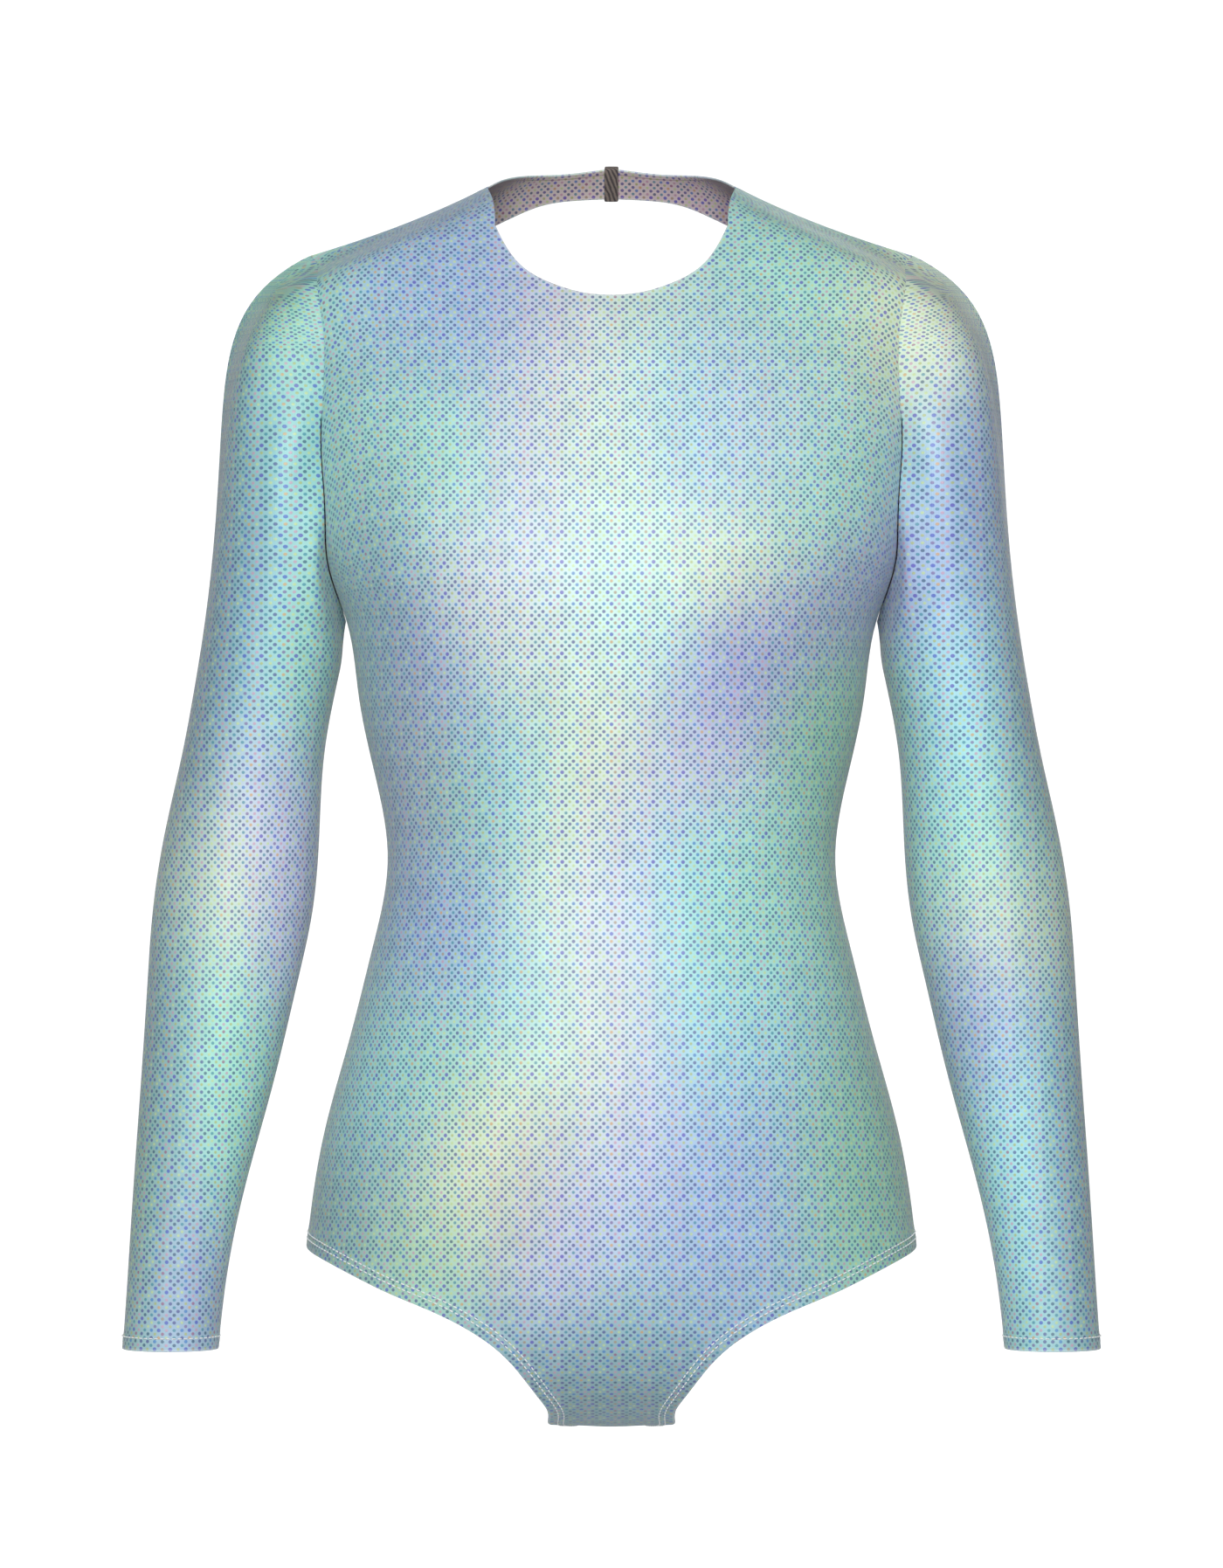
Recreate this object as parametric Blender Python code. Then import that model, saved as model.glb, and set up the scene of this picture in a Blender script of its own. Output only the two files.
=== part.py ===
"""Long-sleeved leotard with an open back, filled out as worn, with nobody in it.

Every piece of cloth is one closed wall, so neck, keyhole, armholes, cuffs and legs stay open.
The world frame is in metres: +Z is up, the front faces -Y, the wearer's left arm is at +X.
The origin is the middle of the shoulder line, between the two points beside the neck.
Lengths in the tables are millimetres, and x there is the distance from the middle plane.
"""

import bpy
import numpy as np

MM = 0.001

# Cloth and seams
WALL = 1.2
SEAM_GAP = 0.3

# Where the main seams and edges cross the form
SHOULDER_TIP_X = 162.0
NECK_POINT_X = 67.0
BAND_END_X = 84.0
UNDERARM_ROW = "underarm"
LEG_ROW = "leg corner"

# Grid of each panel: columns on half of a panel, rows between its main levels
SHOULDER_COLUMNS = 5
BAND_ROWS = 2
NECK_COLUMNS = 6
HALF_COLUMNS = SHOULDER_COLUMNS + BAND_ROWS + NECK_COLUMNS
JOINT_ROWS = 4
KEYHOLE_ROWS = 10
UNDER_KEYHOLE_ROWS = 2
ARMHOLE_ROWS = JOINT_ROWS + KEYHOLE_ROWS + UNDER_KEYHOLE_ROWS
BAND_FREE_COLUMNS = 7
BAND_JOINT_SHARE = 0.46
BODY_ROWS = 12
LEG_ROWS = 13
CAP_RINGS = 8
ARM_RINGS = 15

# The worn form, one row for each section from the shoulder line to the crotch seam.
# side: the section's point on the side line, which it leaves inwards by lean and up by lift.
# front and back: its points on the centre lines. fill: how much of the way to the centre's
# depth it runs beside the side line. flat: the share of the half width over which it stays
# level at the centre line. drop: how much it falls there.
SECTION_COLUMNS = (
    "name", "side_x", "side_y", "side_z", "lean", "lift",
    "front_y", "front_z", "fill_front", "flat_front", "drop_front",
    "back_y", "back_z", "fill_back", "flat_back", "drop_back",
)
SECTIONS = (
    ("shoulder line", 192, 4, -46, 60, 17, 5, 40, 0.5, 0.39, 52, 5, 40, 0.5, 0.39, 52),
    ("yoke", 186, 2, -62, 26, 10, -18, -2, 1.9, 0.34, 5, 38, 31, 1.25, 0.355, 22),
    ("upper chest", 178, 0, -92, 15, 12, -60, -62, 0.80, 0.42, 1, 70, 5, 0.68, 0.425, 10),
    ("armhole middle", 170, 0, -121, 6, 3, -86, -114, 0.68, 0.54, 0, 85, -50, 0.62, 0.54, 6),
    ("chest", 164, 0, -160, 2, 0, -103, -160, 0.64, 0.59, 0, 94, -115, 0.62, 0.57, 6),
    ("lower chest", 156, 0, -203, 0, 0, -113, -203, 0.60, 0.62, 0, 96, -180, 0.60, 0.58, 4),
    ("underarm", 142.4, 0, -235, 0, 0, -114, -237, 0.58, 0.62, 0, 95, -228, 0.58, 0.58, 2),
    ("ribs", 135.8, 0, -276, 0, 0, -107, -278, 0.57, 0.60, 0, 89, -272, 0.57, 0.58, 0),
    ("above waist", 126.6, 0, -320, 0, 0, -95, -322, 0.56, 0.58, 0, 79, -318, 0.56, 0.58, 0),
    ("waist", 120.4, 0, -363, 0, 0, -88, -365, 0.56, 0.57, 0, 73, -362, 0.56, 0.58, 0),
    ("high hip", 128.8, 1, -411, 0, 0, -92, -412, 0.56, 0.57, 0, 79, -411, 0.56, 0.58, 0),
    ("belly", 141.2, 2, -460, 0, 0, -99, -461, 0.56, 0.57, 0, 96, -460, 0.56, 0.58, 0),
    ("hip", 155.8, 3, -515, 0, 0, -104, -516, 0.56, 0.57, 0, 114, -515, 0.56, 0.58, 0),
    ("leg corner", 163.9, 4, -570, 0, 0, -102, -568, 0.56, 0.57, 0, 118, -569, 0.56, 0.58, 0),
    ("groin", 166, 5, -604, 0, 0, -93, -605, 0.56, 0.57, 0, 111, -607, 0.56, 0.58, 0),
    ("under belly", 158, 5, -642, 0, 0, -76, -634, 0.56, 0.57, 0, 92, -636, 0.56, 0.58, 0),
    ("low front", 118, 5, -660, 0, 0, -50, -655, 0.45, 0.50, 0, 62, -656, 0.45, 0.50, 0),
    ("crotch rise", 92, 5, -664, 0, 0, -24, -665, 0.40, 0.45, 0, 32, -665, 0.40, 0.45, 0),
    ("crotch seam", 80, 5, -657, 30, 0, 5, -668, 0.40, 0.30, 0, 5, -668, 0.40, 0.30, 0),
)

# Which way the cloth leaves the shoulder line and reaches the crotch seam, as millimetres of
# x, y and z for each millimetre of run, at the side line and at the centre line
SHOULDER_SIDE_RUN = (-0.25, -0.05, -0.9)
SHOULDER_TIP_RUN = {"front": (0, -0.95, -0.30), "back": (0, 0.95, -0.30)}
NECK_RUN = {"front": (0, -0.90, -0.45), "back": (0, 0.95, 0.10)}
CROTCH_SIDE_RUN = (-0.6, 0, 0)
CROTCH_RUN = {"front": (0, 1, 0), "back": (0, -1, 0)}

# Edges of the pieces on that form, from the front: distance from the middle, then height
ARMHOLE = {
    "front": ((157.5, -56), (153.5, -88), (154.3, -118), (154.6, -149), (152.6, -182),
              (150.9, -208)),
    "back": ((157.5, -56), (153.0, -88), (152.0, -118), (152.0, -149), (151.0, -182),
             (149.5, -208)),
}
NECKLINE = ((65.8, -14.4), (62.7, -23), (57.4, -34.2), (50.5, -44.2), (40.5, -52.3),
            (30.1, -57.2), (19.4, -60.8), (9, -62.7), (0, -63.2))
LEG_EDGE = ((154.2, -575.4), (136.8, -583.0), (118.6, -591.0), (97.3, -599.2), (77.4, -608.6),
            (64.0, -617.4), (53.1, -627.6), (45.8, -637), (39.0, -646.8), (33.3, -657.6))
CROTCH_HALF_WIDTH = 26.0
BAND_FREE_EDGE = ((64, -16.6), (53, -11.2), (42, -6.5), (31, -3.6), (20, -2.3), (9, -1.6),
                  (0, -1.3))
KEYHOLE = ((70.5, -27), (75, -45), (76, -68), (73.5, -92), (66, -118), (54, -141), (38, -160),
           (20, -172), (0, -176))

# The band's upper edge from above: distance from the middle, then depth
BAND_UPPER_EDGE = ((64.6, 22), (58.2, 38), (47.4, 50), (28.5, 60), (0, 64))

# Sleeve below the armhole: height, outer and inner edge from the front, depth, middle's depth
SLEEVE_COLUMNS = ("height", "outer_x", "inner_x", "half_depth", "middle_y")
SLEEVE = (
    (-262, 223.0, 146.4, 45, 2),
    (-305, 230.8, 154.4, 42, 1),
    (-350, 240.6, 157.2, 40, 0),
    (-392, 246.8, 161.0, 40, -2),
    (-428, 249.2, 168.5, 38.5, -6),
    (-483, 252.4, 181.4, 34, -13),
    (-540, 256.0, 196.6, 29.5, -21),
    (-590, 258.8, 206.2, 27, -28),
    (-623, 260.8, 209.8, 26.5, -32),
)

# The cap's direction where it leaves the armhole, as x and z, at the shoulder tip and under the
# arm, and how far it turns to the front and the back between them
CAP_LEAVES_OUTER = (0.89, -0.45)
CAP_LEAVES_INNER = (0.22, -0.97)
CAP_LEAVES_DEPTH = 0.45
# How long the cap keeps its direction at the armhole and at the arm, as shares of its run
CAP_START_OUTER = 0.32
CAP_START_INNER = 0.26
CAP_END_OUTER = 0.63
CAP_END_INNER = 0.42

# Closure loop round the middle of the band
LOOP_WIDTH = 7.5
LOOP_WALL = 1.1
LOOP_EASE = 0.8
LOOP_ROUND = 5

# Search for a point of the form: how far from the one before it, on what net of shares and
# runs, how much a far one counts against itself, then how many steps of what size at most
NET_REACH = 70.0
NET_SHARES = 40
NET_RUNS = 61
NET_PULL = 0.05
SEARCH_STEPS = 20
SEARCH_STRIDE = (0.05, 8.0)
# Small moves that measure the form's slopes, and points that stand for a smooth line
SLOPE_SHARE = 1e-4
SLOPE_RUN = 0.05
LINE_POINTS = 2001
PATH_POINTS = 400

CLOTH_COLOUR = (0.55, 0.66, 0.68, 1.0)
BAND_COLOUR = (0.42, 0.40, 0.42, 1.0)
LOOP_COLOUR = (0.12, 0.11, 0.12, 1.0)


def spline(knots, values, at, first=None, last=None):
    """Cubic spline through the values at the knots, read at some places.

    first and last are its slopes at the ends, and an end without one is left straight.
    """
    knots = np.asarray(knots, float)
    values = np.asarray(values, float)
    shape = values.shape[1:]
    values = values.reshape(len(knots), -1)
    gaps = np.diff(knots)
    rises = np.diff(values, axis=0) / gaps[:, None]
    count = len(knots)
    system = np.zeros((count, count))
    right = np.zeros_like(values)
    inner = np.arange(1, count - 1)
    system[inner, inner - 1] = 1 / gaps[:-1]
    system[inner, inner] = 2 / gaps[:-1] + 2 / gaps[1:]
    system[inner, inner + 1] = 1 / gaps[1:]
    right[1:-1] = 3 * (rises[:-1] / gaps[:-1, None] + rises[1:] / gaps[1:, None])
    for end, slope, beside, rise in ((0, first, 1, rises[0]), (-1, last, -2, rises[-1])):
        system[end, end] = 1 if slope is not None else 2
        system[end, beside] = 0 if slope is not None else 1
        right[end] = np.ravel(slope) if slope is not None else 3 * rise
    slopes = np.linalg.solve(system, right)
    at = np.asarray(at, float)
    span = np.clip(np.searchsorted(knots, at, side="right") - 1, 0, count - 2)
    share = ((at - knots[span]) / gaps[span])[..., None]
    length = gaps[span][..., None]
    read = (
        (1 + 2 * share) * (1 - share) ** 2 * values[span]
        + share * (1 - share) ** 2 * length * slopes[span]
        + share ** 2 * (3 - 2 * share) * values[span + 1]
        + share ** 2 * (share - 1) * length * slopes[span + 1]
    )
    return read.reshape(at.shape + shape)


class Form:
    """The worn form: a front and a back face that share the side line.

    A point on a face has two numbers: share runs from 0 on the side line to 1 on the centre
    line, and run is the way down the cloth from the shoulder line in millimetres.
    """

    def __init__(self):
        table = {
            name: np.array([row[place] for row in SECTIONS])
            for place, name in enumerate(SECTION_COLUMNS)
        }
        none = np.zeros(len(SECTIONS))
        side = np.stack([table["side_x"], table["side_y"], table["side_z"]], axis=1)
        self.controls = {}
        for face in ("front", "back"):
            centre_y = table[face + "_y"]
            centre_z = table[face + "_z"]
            leaving = np.stack([
                table["side_x"] - table["lean"],
                table["side_y"] + table["fill_" + face] * (centre_y - table["side_y"]),
                table["side_z"] + table["lift"],
            ], axis=1)
            arriving = np.stack([
                table["flat_" + face] * table["side_x"],
                centre_y,
                centre_z - table["drop_" + face],
            ], axis=1)
            centre = np.stack([none, centre_y, centre_z], axis=1)
            self.controls[face] = np.stack([side, leaving, arriving, centre], axis=1)
        steps = [
            np.linalg.norm(np.diff(points, axis=0), axis=1)
            for points in (side, self.controls["front"][:, 3], self.controls["back"][:, 3])
        ]
        self.knots = np.concatenate([[0], np.cumsum(np.mean(steps, axis=0))])
        self.end = self.knots[-1]

    def row(self, name):
        """Run of a named section."""
        return self.knots[[row[0] for row in SECTIONS].index(name)]

    def point(self, face, share, run):
        """Points in millimetres, on the half where x is positive."""
        share, run = np.broadcast_arrays(np.asarray(share, float), np.asarray(run, float))
        tip = SHOULDER_TIP_RUN[face]
        neck = NECK_RUN[face]
        first = np.array([SHOULDER_SIDE_RUN, tip, neck, neck])
        crotch = CROTCH_RUN[face]
        last = np.array([CROTCH_SIDE_RUN, crotch, crotch, crotch])
        handles = spline(self.knots, self.controls[face], run, first, last)
        share = share[..., None]
        rest = 1 - share
        return (
            rest ** 3 * handles[..., 0, :]
            + 3 * rest ** 2 * share * handles[..., 1, :]
            + 3 * rest * share ** 2 * handles[..., 2, :]
            + share ** 3 * handles[..., 3, :]
        )

    def slopes(self, face, share, run):
        """How a point moves for a little more share and for a little more run."""
        low = np.clip(share - SLOPE_SHARE, 0, 1)
        high = np.clip(share + SLOPE_SHARE, 0, 1)
        across = (self.point(face, high, run) - self.point(face, low, run)) / (
            high - low
        )[..., None]
        up = np.clip(run - SLOPE_RUN, 0, self.end)
        down = np.clip(run + SLOPE_RUN, 0, self.end)
        along = (self.point(face, share, down) - self.point(face, share, up)) / (
            down - up
        )[..., None]
        return across, along

    def outward(self, face, share, run):
        """Unit vectors that point out of the cloth."""
        across, along = self.slopes(face, share, run)
        normal = np.cross(across, along)
        if face == "back":
            normal = -normal
        return normal / np.linalg.norm(normal, axis=-1, keepdims=True)

    def find(self, face, target, axes, guess):
        """Share and run of the point whose two coordinates on the axes are the target.

        The nearest point of a coarse net round the guess is moved there in a few steps.
        """
        axes = list(axes)
        net = np.stack(np.meshgrid(
            np.linspace(0, 1, NET_SHARES + 1)[1:],
            np.clip(guess[1] + np.linspace(-NET_REACH, NET_REACH, NET_RUNS), 0, self.end),
            indexing="ij",
        ), axis=-1).reshape(-1, 2)
        points = self.point(face, net[:, 0], net[:, 1])[:, axes]
        far = np.linalg.norm(points - target, axis=1) + NET_PULL * np.abs(net[:, 1] - guess[1])
        place = net[np.argmin(far)]
        for _ in range(SEARCH_STEPS):
            miss = target - self.point(face, place[0], place[1])[axes]
            across, along = self.slopes(face, place[0], place[1])
            tilt = np.stack([across[axes], along[axes]], axis=1)
            step = np.linalg.lstsq(tilt, miss, rcond=1e-6)[0]
            place = place + np.clip(step, np.negative(SEARCH_STRIDE), SEARCH_STRIDE)
            place = np.clip(place, 0, (1, self.end))
        return place

    def trace(self, face, points, axes, start, finish=None):
        """Smooth path on a face through points given by two coordinates each.

        It begins at start and ends at finish, both a share and a run. The result is a
        function from 0 to 1, even along the cloth, to shares and runs.
        """
        places = [np.array(start, float)]
        for target in points:
            places.append(self.find(face, target, axes, places[-1]))
        if points and points[-1][0] == 0:
            places[-1][0] = 1.0
        if finish is not None:
            places.append(np.array(finish, float))
        places = np.array(places)
        corners = self.point(face, places[:, 0], places[:, 1])
        knots = np.concatenate(
            [[0], np.cumsum(np.linalg.norm(np.diff(corners, axis=0), axis=1))]
        )
        fine = np.linspace(0, knots[-1], PATH_POINTS)
        path = spline(knots, places, fine)
        path[:, 0] = np.clip(path[:, 0], 0, 1)
        path[:, 1] = np.clip(path[:, 1], 0, self.end)
        return even(self, face, path)


def even(form, face, path):
    """A path of shares and runs as a function from 0 to 1 that is even along the cloth."""
    points = form.point(face, path[:, 0], path[:, 1])
    length = np.concatenate([[0], np.cumsum(np.linalg.norm(np.diff(points, axis=0), axis=1))])
    length = length / length[-1]

    def read(at):
        at = np.asarray(at, float)
        return np.stack(
            [np.interp(at, length, path[:, 0]), np.interp(at, length, path[:, 1])], axis=-1
        )

    return read


def patch(top, bottom, left, right, columns, rows):
    """Grid of shares and runs between four edges that meet at their ends."""
    across = columns[None, :, None]
    down = rows[:, None, None]
    upper = top[None, :, :]
    lower = bottom[None, :, :]
    near = left[:, None, :]
    far = right[:, None, :]
    return (
        (1 - down) * upper + down * lower + (1 - across) * near + across * far
        - (1 - down) * ((1 - across) * top[0] + across * top[-1])
        - down * ((1 - across) * bottom[0] + across * bottom[-1])
    )


def steps(count):
    """Even steps from 0 to 1."""
    return np.linspace(0, 1, count + 1)


def shoulder_place(form, x):
    """Place on the shoulder line at a distance from the middle."""
    share = np.linspace(0, 1, LINE_POINTS)
    line = form.point("front", share, 0.0)
    return np.array([np.interp(-x, -line[:, 0], share), 0.0])


def leg_grid(form, face, columns):
    """Rows of a panel from the leg corner down to the crotch seam, without the first."""
    corner = form.row(LEG_ROW)
    share = np.linspace(0, 1, LINE_POINTS)
    line = form.point(face, share, form.end)
    seam_share = np.interp(-CROTCH_HALF_WIDTH, -line[:, 0], share)
    edge = form.trace(face, LEG_EDGE, (0, 2), (0, corner), (seam_share, form.end))
    rows = steps(LEG_ROWS)
    left = edge(rows)
    right = np.stack([np.ones(LEG_ROWS + 1), corner + (form.end - corner) * rows], axis=1)
    across = columns[None, :, None]
    grid = (1 - across) * left[:, None, :] + across * right[:, None, :]
    return grid[1:]


def body_grid(form, columns):
    """Rows of a panel from the underarm down to the leg corner, without the first."""
    runs = form.row(UNDERARM_ROW) + (form.row(LEG_ROW) - form.row(UNDERARM_ROW)) * steps(BODY_ROWS)
    grid = np.zeros((BODY_ROWS + 1, len(columns), 2))
    grid[:, :, 0] = columns[None, :]
    grid[:, :, 1] = runs[:, None]
    return grid[1:]


def armhole_path(form, face):
    """Armhole seam from the shoulder tip down to the underarm."""
    return form.trace(
        face, ARMHOLE[face], (0, 2), shoulder_place(form, SHOULDER_TIP_X),
        (0, form.row(UNDERARM_ROW)),
    )


def front_grid(form):
    """Half of the front: shoulder and neckline, armhole, side, leg edge and crotch seam."""
    columns = steps(HALF_COLUMNS)
    tip = shoulder_place(form, SHOULDER_TIP_X)
    band_end = shoulder_place(form, BAND_END_X)
    neck = shoulder_place(form, NECK_POINT_X)
    neckline = form.trace("front", NECKLINE, (0, 2), neck)
    top = np.concatenate([
        tip + (band_end - tip) * steps(SHOULDER_COLUMNS)[:, None],
        (band_end + (neck - band_end) * steps(BAND_ROWS)[:, None])[1:],
        neckline(steps(NECK_COLUMNS))[1:],
    ])
    rows = steps(ARMHOLE_ROWS)
    underarm = form.row(UNDERARM_ROW)
    bottom = np.stack([columns, np.full(len(columns), underarm)], axis=1)
    left = armhole_path(form, "front")(rows)
    right = np.stack([np.ones(len(rows)), top[-1, 1] + (underarm - top[-1, 1]) * rows], axis=1)
    upper = patch(top, bottom, left, right, columns, rows)
    return np.concatenate([upper, body_grid(form, columns), leg_grid(form, "front", columns)])


def keyhole_corner(form):
    """Place where the neck band leaves the back and spans the keyhole."""
    return form.find("back", BAND_FREE_EDGE[0], (0, 2), (0.7, 60))


def band_joint(form):
    """Joint of the neck band and the back, from the shoulder seam to the keyhole."""
    start = shoulder_place(form, BAND_END_X)
    return start + (keyhole_corner(form) - start) * steps(JOINT_ROWS)[:, None]


def beside(form, face, path, distance):
    """A path moved sideways along the cloth, towards the side line as it runs down."""
    points = form.point(face, path[:, 0], path[:, 1])
    across, along = form.slopes(face, path[:, 0], path[:, 1])
    ways = np.gradient(points, axis=0)
    away = np.cross(ways, form.outward(face, path[:, 0], path[:, 1]))
    away = away / np.linalg.norm(away, axis=1, keepdims=True)
    moved = path.copy()
    for place in range(len(path)):
        tilt = np.stack([across[place], along[place]], axis=1)
        moved[place] += np.linalg.lstsq(tilt, distance * away[place], rcond=None)[0]
    return moved


def back_grid(form):
    """Half of the back: shoulder, band joint, keyhole, side, leg edge and crotch seam."""
    columns = steps(HALF_COLUMNS)
    rows = steps(ARMHOLE_ROWS)
    underarm = form.row(UNDERARM_ROW)
    tip = shoulder_place(form, SHOULDER_TIP_X)
    joint = beside(form, "back", band_joint(form), SEAM_GAP)
    joint[0, 1] = 0
    hole = form.trace("back", KEYHOLE, (0, 2), joint[-1])(steps(KEYHOLE_ROWS))
    below = hole[-1] + np.array([0, underarm - hole[-1, 1]]) * steps(UNDER_KEYHOLE_ROWS)[:, None]
    top = tip + (joint[0] - tip) * columns[:, None]
    bottom = np.stack([columns, np.full(len(columns), underarm)], axis=1)
    left = armhole_path(form, "back")(rows)
    right = np.concatenate([joint, hole[1:], below[1:]])
    upper = patch(top, bottom, left, right, columns, rows)
    return np.concatenate([upper, body_grid(form, columns), leg_grid(form, "back", columns)])


def band_grid(form):
    """Half of the neck band, from the shoulder seam to the centre."""
    neck = shoulder_place(form, NECK_POINT_X)
    upper = form.trace("back", BAND_UPPER_EDGE, (0, 1), neck)
    joint = band_joint(form)
    free = form.trace("back", BAND_FREE_EDGE[1:], (0, 2), joint[-1])(steps(BAND_FREE_COLUMNS))
    lower = np.concatenate([joint, free[1:]])
    rows = steps(BAND_ROWS)[:, None, None]
    columns = np.concatenate([
        BAND_JOINT_SHARE * steps(JOINT_ROWS),
        BAND_JOINT_SHARE + (1 - BAND_JOINT_SHARE) * steps(BAND_FREE_COLUMNS)[1:],
    ])
    return (1 - rows) * upper(columns)[None] + rows * lower[None]


def panel_surface(form, face, grid):
    """Outer points and outward vectors of a half panel, with its seams made flat.

    On the shoulder, side and crotch seams the front and the back lie against each other, so
    their walls there stand square to the depth.
    """
    points = form.point(face, grid[..., 0], grid[..., 1])
    normals = form.outward(face, grid[..., 0], grid[..., 1])
    on_seam = (grid[..., 1] < 1e-6) | (grid[..., 1] > form.end - 1e-6) | (grid[..., 0] < 1e-6)
    flat = normals * np.array([1, 0, 1])
    flat = flat / np.linalg.norm(flat, axis=-1, keepdims=True)
    normals = np.where(on_seam[..., None], flat, normals)
    points[..., 1] += SEAM_GAP / 2 if face == "back" else -SEAM_GAP / 2
    return points, normals


def mirrored(grid):
    """The same grid on the other side of the middle plane."""
    return grid * np.array([-1, 1, 1])


def whole_panel(points, normals, split_rows=0):
    """Both halves of a panel as points, vectors and quads, joined along the centre line.

    Above split_rows the halves stay apart, as they do beside the keyhole.
    """
    rows, columns = points.shape[:2]
    left = np.arange(rows * columns).reshape(rows, columns)
    right = left + rows * columns
    right[split_rows:, -1] = left[split_rows:, -1]
    quads = np.concatenate([grid_quads(left), grid_quads(right)[:, ::-1]])
    points = points.copy()
    points[split_rows:, -1, 0] = 0
    normals = normals.copy()
    normals[split_rows:, -1, 0] = 0
    both = np.concatenate([mirrored(points).reshape(-1, 3), points.reshape(-1, 3)])
    vectors = np.concatenate([mirrored(normals).reshape(-1, 3), normals.reshape(-1, 3)])
    vectors = vectors / np.linalg.norm(vectors, axis=1, keepdims=True)
    return both, vectors, quads


def grid_quads(ids):
    """Quads of a grid of point numbers."""
    return np.stack(
        [ids[:-1, :-1], ids[:-1, 1:], ids[1:, 1:], ids[1:, :-1]], axis=-1
    ).reshape(-1, 4)


def walled(points, vectors, quads, wall=WALL):
    """Close a surface into a wall: its outer side, an inner side, and faces round each edge."""
    used = np.unique(quads)
    renumber = np.zeros(len(points), int)
    renumber[used] = np.arange(len(used))
    points = points[used]
    vectors = vectors[used]
    quads = renumber[quads]
    count = len(points)
    inner = points - wall * vectors
    edges = np.concatenate([quads[:, [0, 1]], quads[:, [1, 2]], quads[:, [2, 3]], quads[:, [3, 0]]])
    codes = edges.min(axis=1) * count + edges.max(axis=1)
    _, place, times = np.unique(codes, return_index=True, return_counts=True)
    rim = edges[place[times == 1]]
    sides = np.stack([rim[:, 1], rim[:, 0], rim[:, 0] + count, rim[:, 1] + count], axis=1)
    faces = np.concatenate([quads, quads[:, ::-1] + count, sides])
    return np.concatenate([points, inner]), faces


def face_outwards(points, faces):
    """Turn all faces over when the closed wall they make is inside out."""
    corners = points[faces]
    halves = np.concatenate([corners[:, [0, 1, 2]], corners[:, [0, 2, 3]]])
    volume = np.einsum("ij,ij->i", halves[:, 0], np.cross(halves[:, 1], halves[:, 2])).sum()
    return faces if volume > 0 else faces[:, ::-1]


def sleeve_rings(count):
    """Centre, half width and half depth of even rings down the arm."""
    table = {
        name: np.array([row[place] for row in SLEEVE], float)
        for place, name in enumerate(SLEEVE_COLUMNS)
    }
    heights = np.linspace(table["height"][0], table["height"][-1], count + 1)
    values = np.stack([
        (table["outer_x"] + table["inner_x"]) / 2,
        table["middle_y"],
        (table["outer_x"] - table["inner_x"]) / 2,
        table["half_depth"],
    ], axis=1)
    read = spline(-table["height"], values, -heights)
    return heights, read


def sleeve_surface(form):
    """Rings of the sleeve at +X: the cap from the armhole seam, then the arm to the cuff.

    The cap's lines leave the armhole square to it and run smoothly into the arm's lines.
    """
    rows = steps(ARMHOLE_ROWS)
    front = armhole_path(form, "front")(rows)
    back = armhole_path(form, "back")(rows)
    front_seam, front_out = panel_surface(form, "front", front[None])
    back_seam, back_out = panel_surface(form, "back", back[None])
    seam = np.concatenate([front_seam[0], back_seam[0, -2:0:-1]])
    seam_out = np.concatenate([front_out[0], back_out[0, -2:0:-1]])
    joints = [0, ARMHOLE_ROWS]
    seam[joints, 1] += SEAM_GAP / 2
    ahead = np.cross(seam_out, np.roll(seam, -1, axis=0) - np.roll(seam, 1, axis=0))
    ahead = ahead / np.linalg.norm(ahead, axis=1, keepdims=True)
    ahead *= np.sign(np.einsum("ij,ij->i", ahead, seam.mean(axis=0) - seam))[:, None]
    turn = np.concatenate([np.pi * rows, np.pi * (1 + rows[1:-1])])
    heights, arm = sleeve_rings(ARM_RINGS)

    def ring(height, values):
        centre_x, middle_y, half_width, half_depth = values
        return np.stack([
            centre_x + half_width * np.cos(turn),
            middle_y - half_depth * np.sin(turn),
            np.full(len(turn), height),
        ], axis=1)

    arm_rings = np.array([ring(height, values) for height, values in zip(heights, arm)])
    outer = (1 + np.cos(turn[:, None])) / 2
    away = np.outer(1 - outer, CAP_LEAVES_INNER) + np.outer(outer, CAP_LEAVES_OUTER)
    leaving = np.stack([away[:, 0], -CAP_LEAVES_DEPTH * np.sin(turn), away[:, 1]], axis=1)
    leaving = leaving / np.linalg.norm(leaving, axis=1, keepdims=True)
    folded = np.clip(-np.einsum("ij,ij->i", leaving, ahead), 0, 1)[:, None]
    seam = seam + SEAM_GAP * (ahead + folded * seam_out)
    arriving = arm_rings[1] - arm_rings[0]
    arriving = arriving / np.linalg.norm(arriving, axis=1, keepdims=True)
    reach = np.linalg.norm(arm_rings[0] - seam, axis=1, keepdims=True)
    start = CAP_START_INNER + (CAP_START_OUTER - CAP_START_INNER) * outer
    end = CAP_END_INNER + (CAP_END_OUTER - CAP_END_INNER) * outer
    first = seam + start * reach * leaving
    second = arm_rings[0] - end * reach * arriving
    share = steps(CAP_RINGS)[:, None, None]
    cap = (
        (1 - share) ** 3 * seam + 3 * (1 - share) ** 2 * share * first
        + 3 * (1 - share) * share ** 2 * second + share ** 3 * arm_rings[0]
    )
    rings = np.concatenate([cap, arm_rings[1:]])
    return rings, seam_out


def tube_normals(rings):
    """Outward unit vectors of a tube of rings."""
    around = np.roll(rings, -1, axis=1) - np.roll(rings, 1, axis=1)
    along = np.gradient(rings, axis=0)
    normals = np.cross(along, around)
    normals = normals / np.linalg.norm(normals, axis=-1, keepdims=True)
    centre = rings.mean(axis=1, keepdims=True)
    outward = np.einsum("ijk,ijk->", normals, rings - centre)
    return normals if outward > 0 else -normals


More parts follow.
